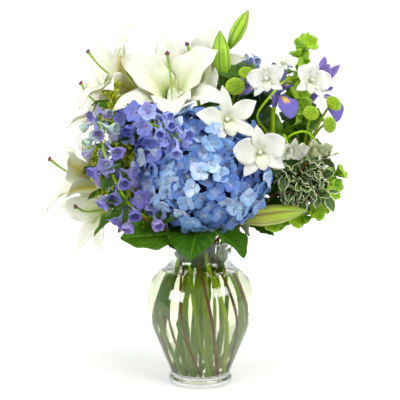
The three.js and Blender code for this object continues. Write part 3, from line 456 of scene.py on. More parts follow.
# %% [markdown]
# A finish is a small network of shader nodes. Most of them here start from the paint of the petals:
# red is how far along, green how far across, blue the petal's own tone and alpha its side. A few helpers
# keep the networks short enough to read.

# %% Helpers for finishes
class Finish:
    """A Principled material, and short names for the nodes that feed it."""

    def __init__(self, name, roughness=0.55, **sockets):
        self.material = bpy.data.materials.new(name)
        self.material.use_nodes = True
        self.tree = self.material.node_tree
        self.shader = self.tree.nodes["Principled BSDF"]
        self.shader.inputs["Roughness"].default_value = roughness
        for socket, value in sockets.items():
            self.shader.inputs[socket.replace("_", " ")].default_value = value
        paint = self.tree.nodes.new("ShaderNodeAttribute")
        paint.attribute_name = "paint"
        parts = self.tree.nodes.new("ShaderNodeSeparateColor")
        self.link(paint.outputs["Color"], parts.inputs["Color"])
        self.along, self.across, self.tone = parts.outputs[:3]
        self.side = paint.outputs["Alpha"]

    def link(self, source, socket):
        self.tree.links.new(source, socket)

    def give(self, socket, value):
        if isinstance(value, bpy.types.NodeSocket):
            self.link(value, socket)
        else:
            socket.default_value = value

    def sum(self, kind, a, b=0.0, c=0.0):
        node = self.tree.nodes.new("ShaderNodeMath")
        node.operation = kind
        for socket, value in zip(node.inputs, (a, b, c)):
            self.give(socket, value)
        return node.outputs[0]

    def middle(self):
        """0 along the midrib, 1 at either edge."""
        return self.sum("MULTIPLY", self.sum("ABSOLUTE", self.sum("SUBTRACT", self.across, 0.5)), 2.0)

    def ramp(self, value, *stops):
        node = self.tree.nodes.new("ShaderNodeValToRGB")
        self.link(value, node.inputs["Fac"])
        marks = node.color_ramp.elements
        while len(marks) < len(stops):
            marks.new(0.5)
        for mark, (place, colour) in zip(marks, stops):
            mark.position = place
            mark.color = shade(colour) if isinstance(colour, str) else (colour, colour, colour, 1)
        return node.outputs["Color"]

    def mix(self, share, a, b, kind="MIX"):
        node = self.tree.nodes.new("ShaderNodeMix")
        node.data_type = "RGBA"
        node.blend_type = kind
        self.give(node.inputs["Factor"], share)
        self.give(node.inputs[6], shade(a) if isinstance(a, str) else a)
        self.give(node.inputs[7], shade(b) if isinstance(b, str) else b)
        return node.outputs[2]

    def noise(self, scale, detail=3.0, stretch=(1, 1, 1)):
        place = self.tree.nodes.new("ShaderNodeTexCoord")
        longer = self.tree.nodes.new("ShaderNodeMapping")
        longer.inputs["Scale"].default_value = stretch
        node = self.tree.nodes.new("ShaderNodeTexNoise")
        node.inputs["Scale"].default_value = scale
        node.inputs["Detail"].default_value = detail
        self.link(place.outputs["Object"], longer.inputs["Vector"])
        self.link(longer.outputs["Vector"], node.inputs["Vector"])
        return node.outputs["Fac"]

    def ribs(self, count, slant=0.0):
        """Fine lines that run the length of a petal, or slant away from a leaf's midrib."""
        run = self.across
        if slant:
            run = self.sum("SUBTRACT", self.along, self.sum("MULTIPLY", self.middle(), slant))
        wave = self.sum("SINE", self.sum("MULTIPLY", run, count * 2 * math.pi))
        return self.sum("MULTIPLY_ADD", wave, 0.5, 0.5)

    def bump(self, height, strength=0.3, deep=0.4):
        node = self.tree.nodes.new("ShaderNodeBump")
        node.inputs["Strength"].default_value = strength
        node.inputs["Distance"].default_value = deep * MM
        self.link(height, node.inputs["Height"])
        self.link(node.outputs["Normal"], self.shader.inputs["Normal"])

    def colour(self, source):
        self.link(source, self.shader.inputs["Base Color"])
        return self

    def glow(self, weight, radius=0.002):
        """Light that wanders inside the petal before it comes out."""
        self.shader.inputs["Subsurface Weight"].default_value = weight
        self.shader.inputs["Subsurface Radius"].default_value = (1.0, 1.0, 1.0)
        self.shader.inputs["Subsurface Scale"].default_value = radius


print("nodes that light the room:", len(bpy.data.worlds["studio"].node_tree.nodes))

# %% [markdown]
# The floor is the matt white paper of a studio. It is not part of the object.
# It glows, painted light like the white table of a catalogue photograph that is lit from below, so that only
# a faint shadow is left under the foot and the paper meets the white wall without an edge. The painted glow
# is weaker near the vase, and the paper thins out to nothing in front of it, because white paper there would
# mirror itself in the glass and veil the stems.

# %% Floor
paper = Finish("floor_paper", 0.9)
paper.colour(paper.ramp(paper.noise(40), (0.3, "EFEFEE"), (0.7, "F4F4F3")))
# The paper's emission is painted light: the floor glows though it is no lamp.
paper.shader.inputs["Emission Strength"].default_value = 0.56
paper.bump(paper.noise(300), 0.05)
spot = paper.tree.nodes.new("ShaderNodeTexCoord")
axes = paper.tree.nodes.new("ShaderNodeSeparateXYZ")
paper.link(spot.outputs["Object"], axes.inputs["Vector"])
# There is no paper beyond 0.4 m in front of the vase's axis, and all of it from 0.02 m in front of it.
fading = paper.ramp(paper.sum("ADD", axes.outputs["Y"], 0.5), (0.1, 0.0), (0.48, 1.0))
paper.link(fading, paper.shader.inputs["Alpha"])
# The painted glow grows from the vase's axis to 0.9 m behind it.
farther_back = paper.sum("MULTIPLY_ADD", axes.outputs["Y"], 0.5, 0.3)
painted_glow = paper.ramp(farther_back, (0.3, "B4B4B3"), (0.75, "FFFFFE"))
paper.link(painted_glow, paper.shader.inputs["Emission Color"])
floor = bpy.data.objects.new("floor", bpy.data.meshes.new("floor"))
WIDE = 4.0
corners = [(-WIDE, -WIDE, 0), (WIDE, -WIDE, 0), (WIDE, WIDE, 0), (-WIDE, WIDE, 0)]
floor.data.from_pydata(corners, [], [(0, 1, 2, 3)])
floor.data.materials.append(paper.material)
bpy.context.scene.collection.objects.link(floor)
print("floor", 2 * WIDE, "m wide")

# %% [markdown]
# The vase is blown and pressed clear glass: a heavy foot, a body that swells to the shoulder, a waist and
# a flared lip with a rounded edge. It is one closed profile turned round its axis. The outline follows the
# same points as the solid, only with far more of them, so that no facet shows where light bends.

# %% Vase profile
OUTER = [[40.5, 3], [41, 7], [39.3, 14.5], [48, 36], [57, 58], [65, 79], [70, 108], [65.6, 132], [56, 145],
         [46, 153], [41.2, 159], [39.8, 167], [42, 179], [46.5, 188]]
WALL = 3
INNER = [[33, 14]] + [[r - WALL, z] for r, z in OUTER if z > 20]


def profile_line(points, steps):
    """The even curve through the points of a profile."""
    p = np.array(points, float)
    p = np.vstack([p[0], p, p[-1]])
    found = []
    for u in np.linspace(0, len(points) - 1, steps):
        i = min(int(u), len(points) - 2)
        f = u - i
        a, b, c, d = p[i:i + 4]
        v0, v1 = (c - a) / 2, (d - b) / 2
        cube = 2 * b - 2 * c + v0 + v1
        square = -3 * b + 3 * c - 2 * v0 - v1
        found.append(cube * f ** 3 + square * f ** 2 + v0 * f + b)
    return np.array(found)


def lip(outer, inner):
    """A half round that joins the outside of the rim to its inside."""
    middle = (outer + inner) / 2
    arm = outer - middle
    return [middle + arm * math.cos(a) + np.array([-arm[1], arm[0]]) * math.sin(a)
            for a in np.linspace(0, math.pi, 7)[1:-1]]


outside = profile_line(OUTER, 110)
inside = profile_line(INNER, 90)
foot_ring = np.array([[0.01, 1.6], [20, 1.5], [30, 1.2], [34.5, 0.5], [36.5, 0], [38.2, 0.3], [39.6, 1.4]])
bowl = np.array([[31.5, 13.1], [29, 12.4], [27, 12.05], [18, 12], [0.01, 12]])
rim = np.array(lip(outside[-1], inside[-1]))
glass_profile = np.vstack([foot_ring, outside, rim, inside[::-1], bowl])
print("points on the glass profile:", len(glass_profile))
print("height in mm:", round(glass_profile[:, 1].max(), 1))

# %% [markdown]
# Glass lets nearly all light through and bends it by its index of refraction, 1.5. It has a trace of green
# that shows where one looks along the wall, and a faint waviness from the mould.

# %% Glass
glass = Finish("clear_glass", 0.0, Transmission_Weight=1.0, IOR=1.5)
edge_on = glass.tree.nodes.new("ShaderNodeLayerWeight")
edge_on.inputs["Blend"].default_value = 0.3
glass.colour(glass.ramp(edge_on.outputs["Facing"], (0.0, "FDFEFD"), (0.6, "F2F7F3"), (0.9, "C4D0C8"),
                        (1.0, "93A398")))
glass.bump(glass.noise(28, 1.0), 0.012, 0.6)
SIDES = 144
Bunch().add(turned(glass_profile, SIDES)).piece("vase_glass", glass.material, "glass", "vase")

# %% [markdown]
# Water fills the vase to just under the neck. Where it meets glass, light passes from one into the other
# and not through air, so the water's skin is drawn a hair inside the glass wall. At its surface it climbs
# the wall in a small curve, the meniscus.

# %% Water
WATER_LEVEL = 148
water_wall = [[r + 0.15, z] for r, z in inside if 15 < z < WATER_LEVEL - 0.5]
last = water_wall[-1][0]
water_profile = np.array([[0.01, 11.9], [27, 11.95], [31.5, 13.0]] + water_wall +
                         [[last - 0.4, WATER_LEVEL + 0.9], [last - 1.6, WATER_LEVEL + 0.3],
                          [last - 4, WATER_LEVEL], [0.01, WATER_LEVEL]])
water = Finish("water", 0.0, Transmission_Weight=1.0, IOR=1.333)
water.colour(water.ramp(water.noise(6, 1.0), (0.3, "F3F6D2"), (0.7, "F8FAE0")))
Bunch().add(turned(water_profile, SIDES)).piece("vase_water", water.material, "water", "water")

# %% [markdown]
# Cut stems are not one green. Lily and iris stalks are a bright, waxy green, delphinium and hydrangea are
# a little duller, and the shrubs among them, such as pittosporum, stand on brown woody twigs. The tone of
# each stem picks its colour, and long streaks run down it.

# %% Stem finish
bark = Finish("stem_skin", 0.45, Specular_IOR_Level=0.25)
streaks = bark.noise(220, 3.0, (1, 1, 0.12))
skin = bark.ramp(bark.tone, (0.0, "D2F214"), (0.3, "AED812"), (0.5, "8CB410"), (0.7, "AC9A26"),
                 (0.82, "AE6A26"), (1.0, "864422"))
bark.colour(bark.mix(bark.sum("MULTIPLY", streaks, 0.45), skin, "4E6A14", "MULTIPLY"))
bark.bump(streaks, 0.3, 0.4)
bark.glow(0.12)

STEM_TONES = {
    "hydrangea_stem": 0.42, "leafy_left": 0.86, "leafy_back_right": 0.8, "leafy_back_left": 0.55,
    "lily_stalk_top": 0.05, "lily_stalk_left": 0.2, "lily_stalk_low": 0.36, "lily_stalk_right": 0.0,
    "bells_high": 0.18, "bells_low": 0.3, "button_spray_right": 0.78, "button_spray_top": 0.5,
    "orchid_spray_high": 0.22, "orchid_spray_low": 0.35, "goldenrod_high": 0.62, "goldenrod_low": 0.84,
    "delphinium_left": 0.28, "delphinium_front": 0.45, "delphinium_top": 0.34, "pittosporum": 0.95,
    "iris_near": 0.12, "iris_far": 0.4,
}
print("greens and browns for", len(STEM_TONES), "stems")

# %% [markdown]
# Each stem is a tube that swells and thins a little, with low joints, the nodes where leaves were stripped
# off. Side stalks leave it some way below what they carry.

# %% Make a stem
def stem_skin(name, more=(), thin=0.8):
    radius = STEMS[name][2]
    line = stem_line(name, more, 110)
    t = np.linspace(0, 1, len(line))
    swell = 1 + 0.04 * np.sin(t * 31 + radius * 9) - (1 - thin) * t
    for joint in chance.uniform(0.04, 0.9, 5):
        swell = swell + 0.16 * np.exp(-((t - joint) * 90) ** 2)
    return line, tube(line, radius * swell, 12, STEM_TONES[name])


def stalk(start, *knots, thick=1.3, thin=1.0, tone=0.3, sides=7, count=16):
    line = smooth_line([start, *knots], count)
    return tube(line, np.linspace(thick, thin, count), sides, tone)


print("points on one stem:", len(stem_skin("iris_far")[0]))

# %% [markdown]
# Broad leaves close the bouquet from below and hide its back, as a florist does it. The two large ones
# under the hydrangea are its own: toothed, quilted between the side veins, and folded a little at the
# midrib. Veins are paler and sunken, so they go into both colour and relief.

# %% Leaf finish and form
SIDE_VEINS, SLANT = 8, 0.3  # pairs of side veins, and how far each one climbs on its way to the edge


def leaf_finish(name, deep, light, vein):
    leaf = Finish(name, 0.42, Specular_IOR_Level=0.25)
    mottle = leaf.mix(leaf.noise(60, 4.0), deep, light)
    toned = leaf.mix(leaf.sum("MULTIPLY", leaf.tone, 0.55), mottle, light)
    under = leaf.mix(leaf.side, light, toned)
    side_veins = leaf.sum("POWER", leaf.ribs(SIDE_VEINS, SLANT), 10.0)
    midrib = leaf.sum("LESS_THAN", leaf.middle(), 0.045)
    veins = leaf.sum("MAXIMUM", leaf.sum("MULTIPLY", side_veins, 0.5), midrib)
    leaf.colour(leaf.mix(leaf.sum("MULTIPLY", veins, 0.55), under, vein))
    leaf.bump(leaf.sum("SUBTRACT", leaf.noise(150, 3.0), veins), 0.5, 0.7)
    leaf.glow(0.1)
    return leaf.material


hydrangea_green = leaf_finish("hydrangea_leaf", "224802", "3C6F04", "66961E")
foliage_green = leaf_finish("foliage_leaf", "2E5A06", "548814", "7CA83C")


def broad_leaf(length, width, droop, tone):
    rows, columns = 44, 17
    grid = petal(length, width, lean=(0, droop), turn=-90, base=0.1, fullest=0.45, cup=0.12, ruffle=2.2,
                 waves=3, rows=rows, columns=columns, crease=0.16, saw=0.05, teeth=19, phase=tone * 9)
    t = np.linspace(0, 1, rows)[:, None, None]
    s = np.abs(np.linspace(-1, 1, columns))[None, :, None]
    quilt = 0.7 * np.sin(2 * np.pi * SIDE_VEINS * (t - SLANT * s)) * np.sin(np.pi * s) * np.sin(np.pi * t)
    return plate(grid + quilt * np.array([0, 0.5, 0.8]), 0.6, tone)


LEAF_TONES = (0.15, 0.7, 0.4, 0.2, 0.9, 0.05)
# Each leaf has its place, bearing, rise and roll, its length and width, and how far it droops.
LEAFY = {
    "hydrangea_stem": [((1, -46, 212), -14, 6, 4, 76, 66, 66), ((3, -45, 213), 50, 6, -6, 80, 58, 66)],
    "leafy_left": [((-24, -60, 206), -80, 4, -42, 76, 56, 26), ((-83, -48, 231), -84, 0, 24, 62, 44, 66)],
    "leafy_back_right": [((2, 62, 222), 160, 6, 0, 84, 62, 66), ((18, 78, 256), 118, 10, 0, 82, 58, 50),
                         ((34, 85, 286), 182, 34, 0, 78, 56, 56), ((62, 84, 330), 150, 50, 0, 72, 52, 50),
                         ((64, 66, 345), 84, -22, 62, 62, 46, 20), ((44, 74, 345), 190, 72, 0, 66, 48, 34)],
    "leafy_back_left": [((-38, 60, 222), 214, 4, 0, 84, 60, 62), ((-52, 80, 256), 252, 10, 0, 76, 54, 50),
                        ((-54, 91, 288), 178, 20, 0, 78, 56, 58), ((-50, 96, 322), 226, 40, 0, 72, 50, 50),
                        ((-32, 92, 368), 170, 62, 0, 62, 44, 40)],
}
for name, leaves in LEAFY.items():
    line, skin_form = stem_skin(name)
    stems = Bunch().add(skin_form)
    blades = Bunch()
    for k, (at, bearing, rise, roll, length, width, droop) in enumerate(leaves):
        place = facing(at, bearing, rise, roll)
        blades.add(broad_leaf(length, width, droop, LEAF_TONES[k]), place)
        inward = np.array(at) + place[:3, 2] * 6
        stems.add(stalk(nearest_fork(line, at), at, inward, thick=1.7, thin=1.0, tone=0.4))
    if name == "hydrangea_stem":
        into_head = ((3, -46, 236), (3, -50, 262))
        stems.add(stalk(line[-8], *into_head, thick=4, thin=3, tone=0.4, sides=10))
    stems.piece(name + "_stalk", bark.material, "stem", name)
    green = hydrangea_green if name == "hydrangea_stem" else foliage_green
    blades.piece(name + "_leaves", green, "leaf", name)

# %% [markdown]
# Small leaves stay on the upper half of most stems, and they are what makes the gaps between the flowers
# dark. Each is turned so that its face is to the light. They follow a spiral up the stem, and all are one
# form with another length, width and droop.

# %% Small leaves up a stem
lance_green = leaf_finish("lance_leaf", "244604", "467408", "6C9428")
INTO_THE_GAPS = np.array([0, 0.4, 0])


def small_leaf(length, width, saw=0.0):
    return petal(length * chance.uniform(0.8, 1.15), width, lean=(0, chance.uniform(20, 60)), turn=-90,
                 base=0.2, fullest=0.42, cup=0.1, ruffle=1.2, rows=14, columns=7,
                 phase=chance.uniform(0, 6), saw=saw, teeth=5)


def leaves_up(name, count, first, last, length, width, saw=0.0):
    blades = Bunch()
    for at, along, out, share, i in spiral(stem_line(name), count, first, last, 30):
        way = out + along * 0.5 + INTO_THE_GAPS
        roll = math.copysign(chance.uniform(30, 80), way[0])
        blades.add(plate(small_leaf(length, width, saw), 0.5), looking(at, way, roll), chance.uniform(0, 0.6))
    blades.piece(name + "_small_leaves", lance_green, "leaf", name)


leaves_up("goldenrod_high", 34, 0.5, 0.97, 38, 13)
leaves_up("goldenrod_low", 30, 0.48, 0.97, 34, 12)
leaves_up("delphinium_left", 14, 0.5, 0.8, 36, 19, 0.3)
leaves_up("delphinium_front", 20, 0.5, 0.82, 38, 20, 0.3)
leaves_up("delphinium_top", 56, 0.56, 0.97, 50, 24, 0.3)
leaves_up("button_spray_top", 44, 0.6, 1.0, 42, 23, 0.3)
leaves_up("button_spray_right", 24, 0.56, 0.97, 36, 19, 0.3)
leaves_up("bells_high", 18, 0.56, 0.84, 38, 24, 0.3)

# %% [markdown]
# A florist strips the lower leaves, but some are left in the neck of the vase, and three have slipped under
# water at the left. Their finish is painted a brighter green: painted light, for the light that the glass
# holds back from them.

# %% Leaves in the neck and under water
NECK_LEAVES = 26
# Each wet leaf has its place, bearing, rise, roll and length.
WET_LEAVES = [((-33, -22, 146), -76, -66, 70, 62), ((-40, -6, 120), -70, -72, 60, 46),
              ((-20, -30, 96), -30, -84, 10, 40)]
inside_leaves = Bunch()
for i in range(NECK_LEAVES):
    a = math.radians(i * GOLDEN_ANGLE)
    out = 14 + 14 * (i % 2)
    at = (out * math.cos(a), out * math.sin(a), 140 + 1.4 * i)
    blade = plate(small_leaf(34, 17), 0.5)
    place = facing(at, chance.uniform(-50, 50), chance.uniform(66, 86))
    inside_leaves.add(blade, place, chance.uniform(0, 0.5))
inside_leaves.piece("leaves_in_the_neck", lance_green, "leaf", "leafy_left")
# Painted light: the leaves under water get a brighter copy of the leaf finish.
painted_light_green = leaf_finish("painted_light_leaf", "467E0C", "6CAC1E", "A0CC4C")
wet_leaves = Bunch()
for at, bearing, rise, roll, length in WET_LEAVES:
    wet_leaves.add(plate(small_leaf(length, 0.4 * length), 0.5), facing(at, bearing, rise, roll), 0.9)
wet_leaves.piece("leaves_under_water", painted_light_green, "leaf", "leafy_left")

# %% [markdown]
# A lily bud is six folded petals with a dark groove between each pair. It is spindle-shaped, fattest below
# its middle, and lime green; the lowest one at the right has begun to colour and has a blush.

# %% Lily stalks and buds
# A lily has its place, bearing, rise and roll, its size and how far it has opened. A stalk has its lilies
# and its buds, each bud with its place, bearing, rise, length and width.
LILIES = {
    "lily_front": ((-34, 18, 357), -5, 38, 8, 1.12, 1.0),
    "lily_top": ((-4, 60, 376), -8, 42, 38, 1.0, 0.9),
    "lily_left_high": ((-82, 16, 380), -64, 30, 4, 0.95, 0.95),
    "lily_left_back": ((-102, 40, 342), -74, 34, 15, 0.86, 0.85),
    "lily_left": ((-117, -8, 260), -78, 18, -5, 0.95, 0.85),
    "lily_left_low": ((-110, 26, 228), -40, -2, 30, 0.82, 0.85),
}
LILY_STALKS = {
    "lily_stalk_top": (["lily_front", "lily_top"], [((28, 12, 386), -25, 84, 72, 26),
                                                    ((37, 16, 436), 75, 62, 54, 19)]),
    "lily_stalk_left": (["lily_left_high", "lily_left_back"], []),
    "lily_stalk_low": (["lily_left", "lily_left_low"], []),
    "lily_stalk_right": ([], [((46, -45, 220), 80, 9, 86, 26)]),
}
FORK_OF_TOP_BUD = np.array((29, 14, 380))
bud_green = Finish("lily_bud_skin", 0.38, Specular_IOR_Level=0.4)
groove = bud_green.sum("POWER", bud_green.sum("SUBTRACT", 1.0, bud_green.ribs(6)), 6.0)
fresh = bud_green.ramp(bud_green.along, (0.0, "6FA22A"), (0.2, "97C52C"), (0.7, "A4CE34"), (1.0, "86A83A"))
blushed = bud_green.ramp(bud_green.along, (0.0, "8FB03C"), (0.3, "C6CA58"), (0.75, "A9C63C"), (1.0, "8DB236"))
ground = bud_green.mix(bud_green.tone, fresh, blushed)
stripe = bud_green.mix(bud_green.tone, "4F7A1C", "8E6A4A")
bud_green.colour(bud_green.mix(bud_green.sum("MULTIPLY", groove, 0.8), ground, stripe))
bud_green.bump(bud_green.sum("SUBTRACT", bud_green.noise(300), groove), 0.3, 0.5)
bud_green.glow(0.15)


def lily_bud(length, width, tone):
    t = np.linspace(0, 1, 34)
    outline = np.interp(t, [0, 0.04, 0.1, 0.35, 0.65, 0.9, 1], [0.22, 0.36, 0.56, 0.98, 0.93, 0.44, 0.04])
    wide = outline * width / 2
    wide = np.convolve(np.pad(wide, 2, "edge"), np.ones(5) / 5, "valid")
    folds = lambda a: 1 - 0.12 * (0.5 + 0.5 * np.cos(6 * a)) ** 2 + 0.035 * np.cos(3 * a)
    return turned(np.stack([wide, t * length], -1), 48, tone, folds)


for name, (carried_lilies, buds) in LILY_STALKS.items():
    line, skin_form = stem_skin(name, thin=0.72)
    stems = Bunch().add(skin_form)
    for lily in carried_lilies:
        ends = seat(*LILIES[lily][:3], 4)
        stems.add(stalk(nearest_fork(line, ends[0]), *ends, thick=2.9, thin=2.6, tone=0.12, sides=10))
    for k, (at, bearing, rise, length, width) in enumerate(buds):
        start = line[-14] if k == 0 else FORK_OF_TOP_BUD
        place = facing(at, bearing, rise)
        axis = place[:3, 2]
        stems.add(stalk(start, np.array(at) - axis * 6, np.array(at) + axis * 2, thick=2.8, thin=2.5,
                        tone=0.08, sides=10))
        blushing = 0.9 if name == "lily_stalk_right" else 0.05
        bud = Bunch().add(lily_bud(length, width, blushing), place)
        bud.piece(f"{name}_bud_{k + 1}", bud_green.material, "stem", name)
    stems.piece(name + "_stalk", bark.material, "stem", name)

# %% [markdown]
# An oriental lily has six petals in two rings: three narrow outer ones, properly sepals, and three broad
# inner ones over the gaps between them. Their feet form a trumpet and their ends roll back. They are
# white, shaded yellow-green along the midrib and in the throat, and faintly ribbed from foot to tip.

# %% Lily petal finish
lily_white = Finish("lily_petal", 0.5, Specular_IOR_Level=0.35, Sheen_Weight=0.12)
rib = lily_white.sum("POWER", lily_white.sum("SUBTRACT", 1.0, lily_white.middle()), 9.0)
toward_foot = lily_white.ramp(lily_white.along, (0.0, 1.0), (0.22, 0.8), (0.62, 0.28), (0.95, 0.0))
blush = lily_white.sum("MULTIPLY", rib, toward_foot)
throat = lily_white.ramp(lily_white.along, (0.0, "8FB02E"), (0.14, "C2CE74"), (0.38, "DADFB8"),
                         (0.64, "E2E3D4"), (0.92, "E0E1D2"), (1.0, "CAD292"))
inner_white = lily_white.mix(lily_white.sum("MULTIPLY", blush, 0.65), throat, "C2CE4E")
broad_rib = lily_white.sum("POWER", lily_white.sum("SUBTRACT", 1.0, lily_white.middle()), 1.5)
far_up = lily_white.ramp(lily_white.along, (0.0, 1.0), (0.6, 0.95), (0.88, 0.6), (1.0, 0.3))
outside_blush = lily_white.sum("MULTIPLY", broad_rib, far_up)
outer_white = lily_white.mix(lily_white.sum("MULTIPLY", outside_blush, 0.95), throat, "CDBE22")
lily_white.colour(lily_white.mix(lily_white.side, outer_white, inner_white))
fine_ribs = lily_white.sum("MULTIPLY_ADD", lily_white.noise(90, 2.0), 0.5, lily_white.ribs(13))
lily_white.bump(fine_ribs, 0.22, 0.35)
lily_white.glow(0.45, 0.003)

TEPAL = dict(bend=1.8, base=0.2, blunt=1.0, wrap=0.95, cup=0.1)
TEPAL_LONG = 98
THROAT_CUP = [[5.2, -4], [6.4, -3], [7.8, 1], [9.6, 5], [11, 9], [9.6, 9], [7.6, 4], [4, 1], [0.01, 0.5]]


def lily_petals(size, opened, seed):
    draw = np.random.default_rng(seed)
    bloom = Bunch()
    frill = 8 * (size - 0.6)  # small blooms are frilled less
    for k, turn in enumerate((90, 210, 330, 30, 150, 270)):
        outer = k < 3
        start, end = (17, 122) if outer else (10, 108)
        end = 30 + (end - 30) * opened + draw.uniform(-7, 7)
        grid = petal(TEPAL_LONG * size, (31 if outer else 44) * size, lean=(start, end),
                     turn=turn + draw.uniform(-3, 3), root=8 if outer else 5,
                     fullest=0.52 if outer else 0.58, ruffle=frill * (0.5 if outer else 1.0),
                     waves=2.2 if outer else 3.4, phase=draw.uniform(0, 6), twist=draw.uniform(-14, 14),
                     sway=draw.uniform(-4, 4), rows=34, columns=15, crease=0.1, **TEPAL)
        bloom.add(plate(grid, 0.7, draw.uniform(0, 1)))
    cup = turned(THROAT_CUP, 24, 0.5)
    cup[3][:, 0] = 0.02  # all of the cup is painted as the foot of a petal
    return bloom.add(cup)


print("a lily's petals are", TEPAL_LONG, "mm long before its own size is applied")

# %% [markdown]
# From the throat stands the style, a long curved column with a sticky three-lobed stigma, dark red-brown
# here. The anthers have been picked off so that pollen doesn't stain the petals, as florists do, which
# leaves six thin pale filaments round the style.

# %% Style and stigma
style_skin = Finish("lily_style", 0.35, Specular_IOR_Level=0.5)
up_style = style_skin.ramp(style_skin.along, (0.0, "C9D86A"), (0.6, "9CBE3A"), (1.0, "8FB23C"))
style_skin.colour(style_skin.mix(style_skin.sum("GREATER_THAN", style_skin.tone, 0.6), up_style,
                                 style_skin.ramp(style_skin.noise(500), (0.35, "5A2436"), (0.65, "7E3B42"))))
style_skin.bump(style_skin.noise(400), 0.25)
style_skin.glow(0.1)


def lily_pistil(size):
    style = smooth_line([[0, 0, 3], [0, -1, 35], [1, 2, 62], [1, 9, 86 * size]], 26)
    pistil = Bunch().add(tube(style, np.r_[np.full(20, 1.35), np.linspace(1.4, 2.0, 6)], 10, 0.3))
    for turn in (90, 210, 330):
        lobe = bead(2.2, 0.8, 9, 5, 0.9)
        at = (1 + 1.3 * math.cos(math.radians(turn)), 9.5 + 1.3 * math.sin(math.radians(turn)), 87.4 * size)
        pistil.add(lobe, looking(at, (0, 0.2, 1)))
    for k in range(6):
        a = math.radians(60 * k + 30)
        arm = [[4 * math.cos(a), 4 * math.sin(a), 4], [7 * math.cos(a), 7 * math.sin(a), 26],
               [13 * math.cos(a), 13 * math.sin(a) - 1, 46 * size]]
        pistil.add(stalk(*arm, thick=0.8, thin=0.45, tone=0.1, sides=6, count=12))
    return pistil


for k, (name, (base, bearing, rise, roll, size, opened)) in enumerate(LILIES.items()):
    here = facing(base, bearing, rise, roll)
    bloom = lily_petals(size, opened, 40 + k).carry(here)
    bloom.piece(name + "_petals_fine", lily_white.material, "lily", name + "_petals")
    pistil = lily_pistil(size).carry(here)
    pistil.piece(name + "_pistil_fine", style_skin.material, "pistil", name + "_pistil")

# %% [markdown]
# A mophead hydrangea is a ball of sterile florets. What looks like a petal is a sepal: four of them, round
# and broad, lie almost flat round a tiny bead. No two florets have quite the same blue: some are pale sky,
# some periwinkle, and those deep in the head are painted darker, as painted shade. One ramp over the floret's
# tone gives them all, paler at the heart of each sepal and darker along its edge.

# %% Sepal finish
sepal_blue = Finish("hydrangea_sepal", 0.6, Specular_IOR_Level=0.3, Sheen_Weight=0.15)
blue = sepal_blue.ramp(sepal_blue.tone, (0.0, "22478A"), (0.22, "386AB2"), (0.48, "6292CA"),
                       (0.72, "98BEE2"), (0.9, "D0E2F0"), (1.0, "8488D6"))
at_heart = sepal_blue.ramp(sepal_blue.along, (0.0, 0.6), (0.35, 0.1), (1.0, 0.0))
at_edge = sepal_blue.ramp(sepal_blue.along, (0.0, 0.0), (0.7, 0.0), (1.0, 0.35))
in_patches = sepal_blue.ramp(sepal_blue.noise(45, 2.0), (0.42, 0.0), (0.68, 0.4))
edged = sepal_blue.mix(at_edge, sepal_blue.mix(at_heart, blue, "E0EBF0"), "3E72C8")
sepal_blue.colour(sepal_blue.mix(in_patches, edged, "5E70CC"))
sepal_blue.bump(sepal_blue.ribs(5), 0.25, 0.25)
sepal_blue.glow(0.15, 0.002)

HEAD_CENTRE = np.array([3.0, -50.0, 281.0])
HEAD_RADII = np.array([82.0, 76.0, 77.0])
print("half sizes of the head in mm:", HEAD_RADII)

# %% [markdown]
# The florets overlap like scales and stand on the same spiral as in the solid, so each draws its own tone,
# its own tilt and its own depth, or they would lie in rows. The draws come from a chance of the head's own,
# which leaves its pattern as it is when another flower changes. Only where an orchid leans on the head do
# the florets sit deeper, so that none of them cuts its petals.

# %% Florets on their spiral
FLORETS = 240
BARE = -0.66  # below this height of a ball of radius 1, the head has no florets
ORCHID_AT = np.array([58, -108, 304])
ORCHID_REACH, SUNKEN = 42, 0.86


def hydrangea_floret(head, place, tone, size):
    opening = chance.uniform(62, 96)
    for k in range(4):
        high = k % 2
        grid = petal(13.6 * size, 13.4 * size, lean=(52 + 14 * high, opening + chance.uniform(-16, 16)),
                     turn=90 * k + chance.uniform(-7, 7), base=0.42, fullest=0.6, blunt=0.6,
                     cup=chance.uniform(-0.1, 0.3), ruffle=1.1, waves=1.4, phase=chance.uniform(0, 6),
                     rows=7, columns=5, root=0.5)
        head.add(plate(grid, 0.5), place, np.clip(tone + chance.uniform(-0.12, 0.12), 0, 1))
    head.add(bead(1.5, 0.8, 6, 3), place, 0.95)


chance = np.random.default_rng(11)
head = Bunch()
tilt = facing((0, 0, 0), 0, 62)
for i in range(FLORETS):
    height = 1 - (i + 0.5) / FLORETS * (1 - BARE)
    around = math.radians(i * GOLDEN_ANGLE)
    flat = math.sqrt(1 - height * height)
    out = carried(np.array([[flat * math.cos(around), flat * math.sin(around), height]]), tilt)[0]
    depth = chance.uniform(0.88, 1.01)
    if np.linalg.norm(HEAD_CENTRE + HEAD_RADII * out - ORCHID_AT) < ORCHID_REACH:
        depth = SUNKEN
    at = HEAD_CENTRE + HEAD_RADII * depth * out
    normal = out / HEAD_RADII * HEAD_RADII.mean() + chance.normal(0, 0.27, 3)
    # Pale and dark patches run over the head, it is paler at the left, and what lies deep is painted darker,
    # as painted shade among the florets.
    pale = 0.5 + 0.16 * math.sin(at[0] / 19 + 1.0) * math.cos(at[2] / 16) - 0.002 * (at[0] - 3)
    tone = np.clip(pale + chance.normal(0, 0.25) - 2.4 * (0.94 - depth), 0.02, 0.93)
    if at[0] < -20 and chance.random() < 0.2:
        tone = 1.0  # a mauve one
    hydrangea_floret(head, looking(at, normal, chance.uniform(0, 90)), tone, chance.uniform(0.86, 1.08))
head.piece("hydrangea_florets", sepal_blue.material, "hydrangea", "hydrangea_head")
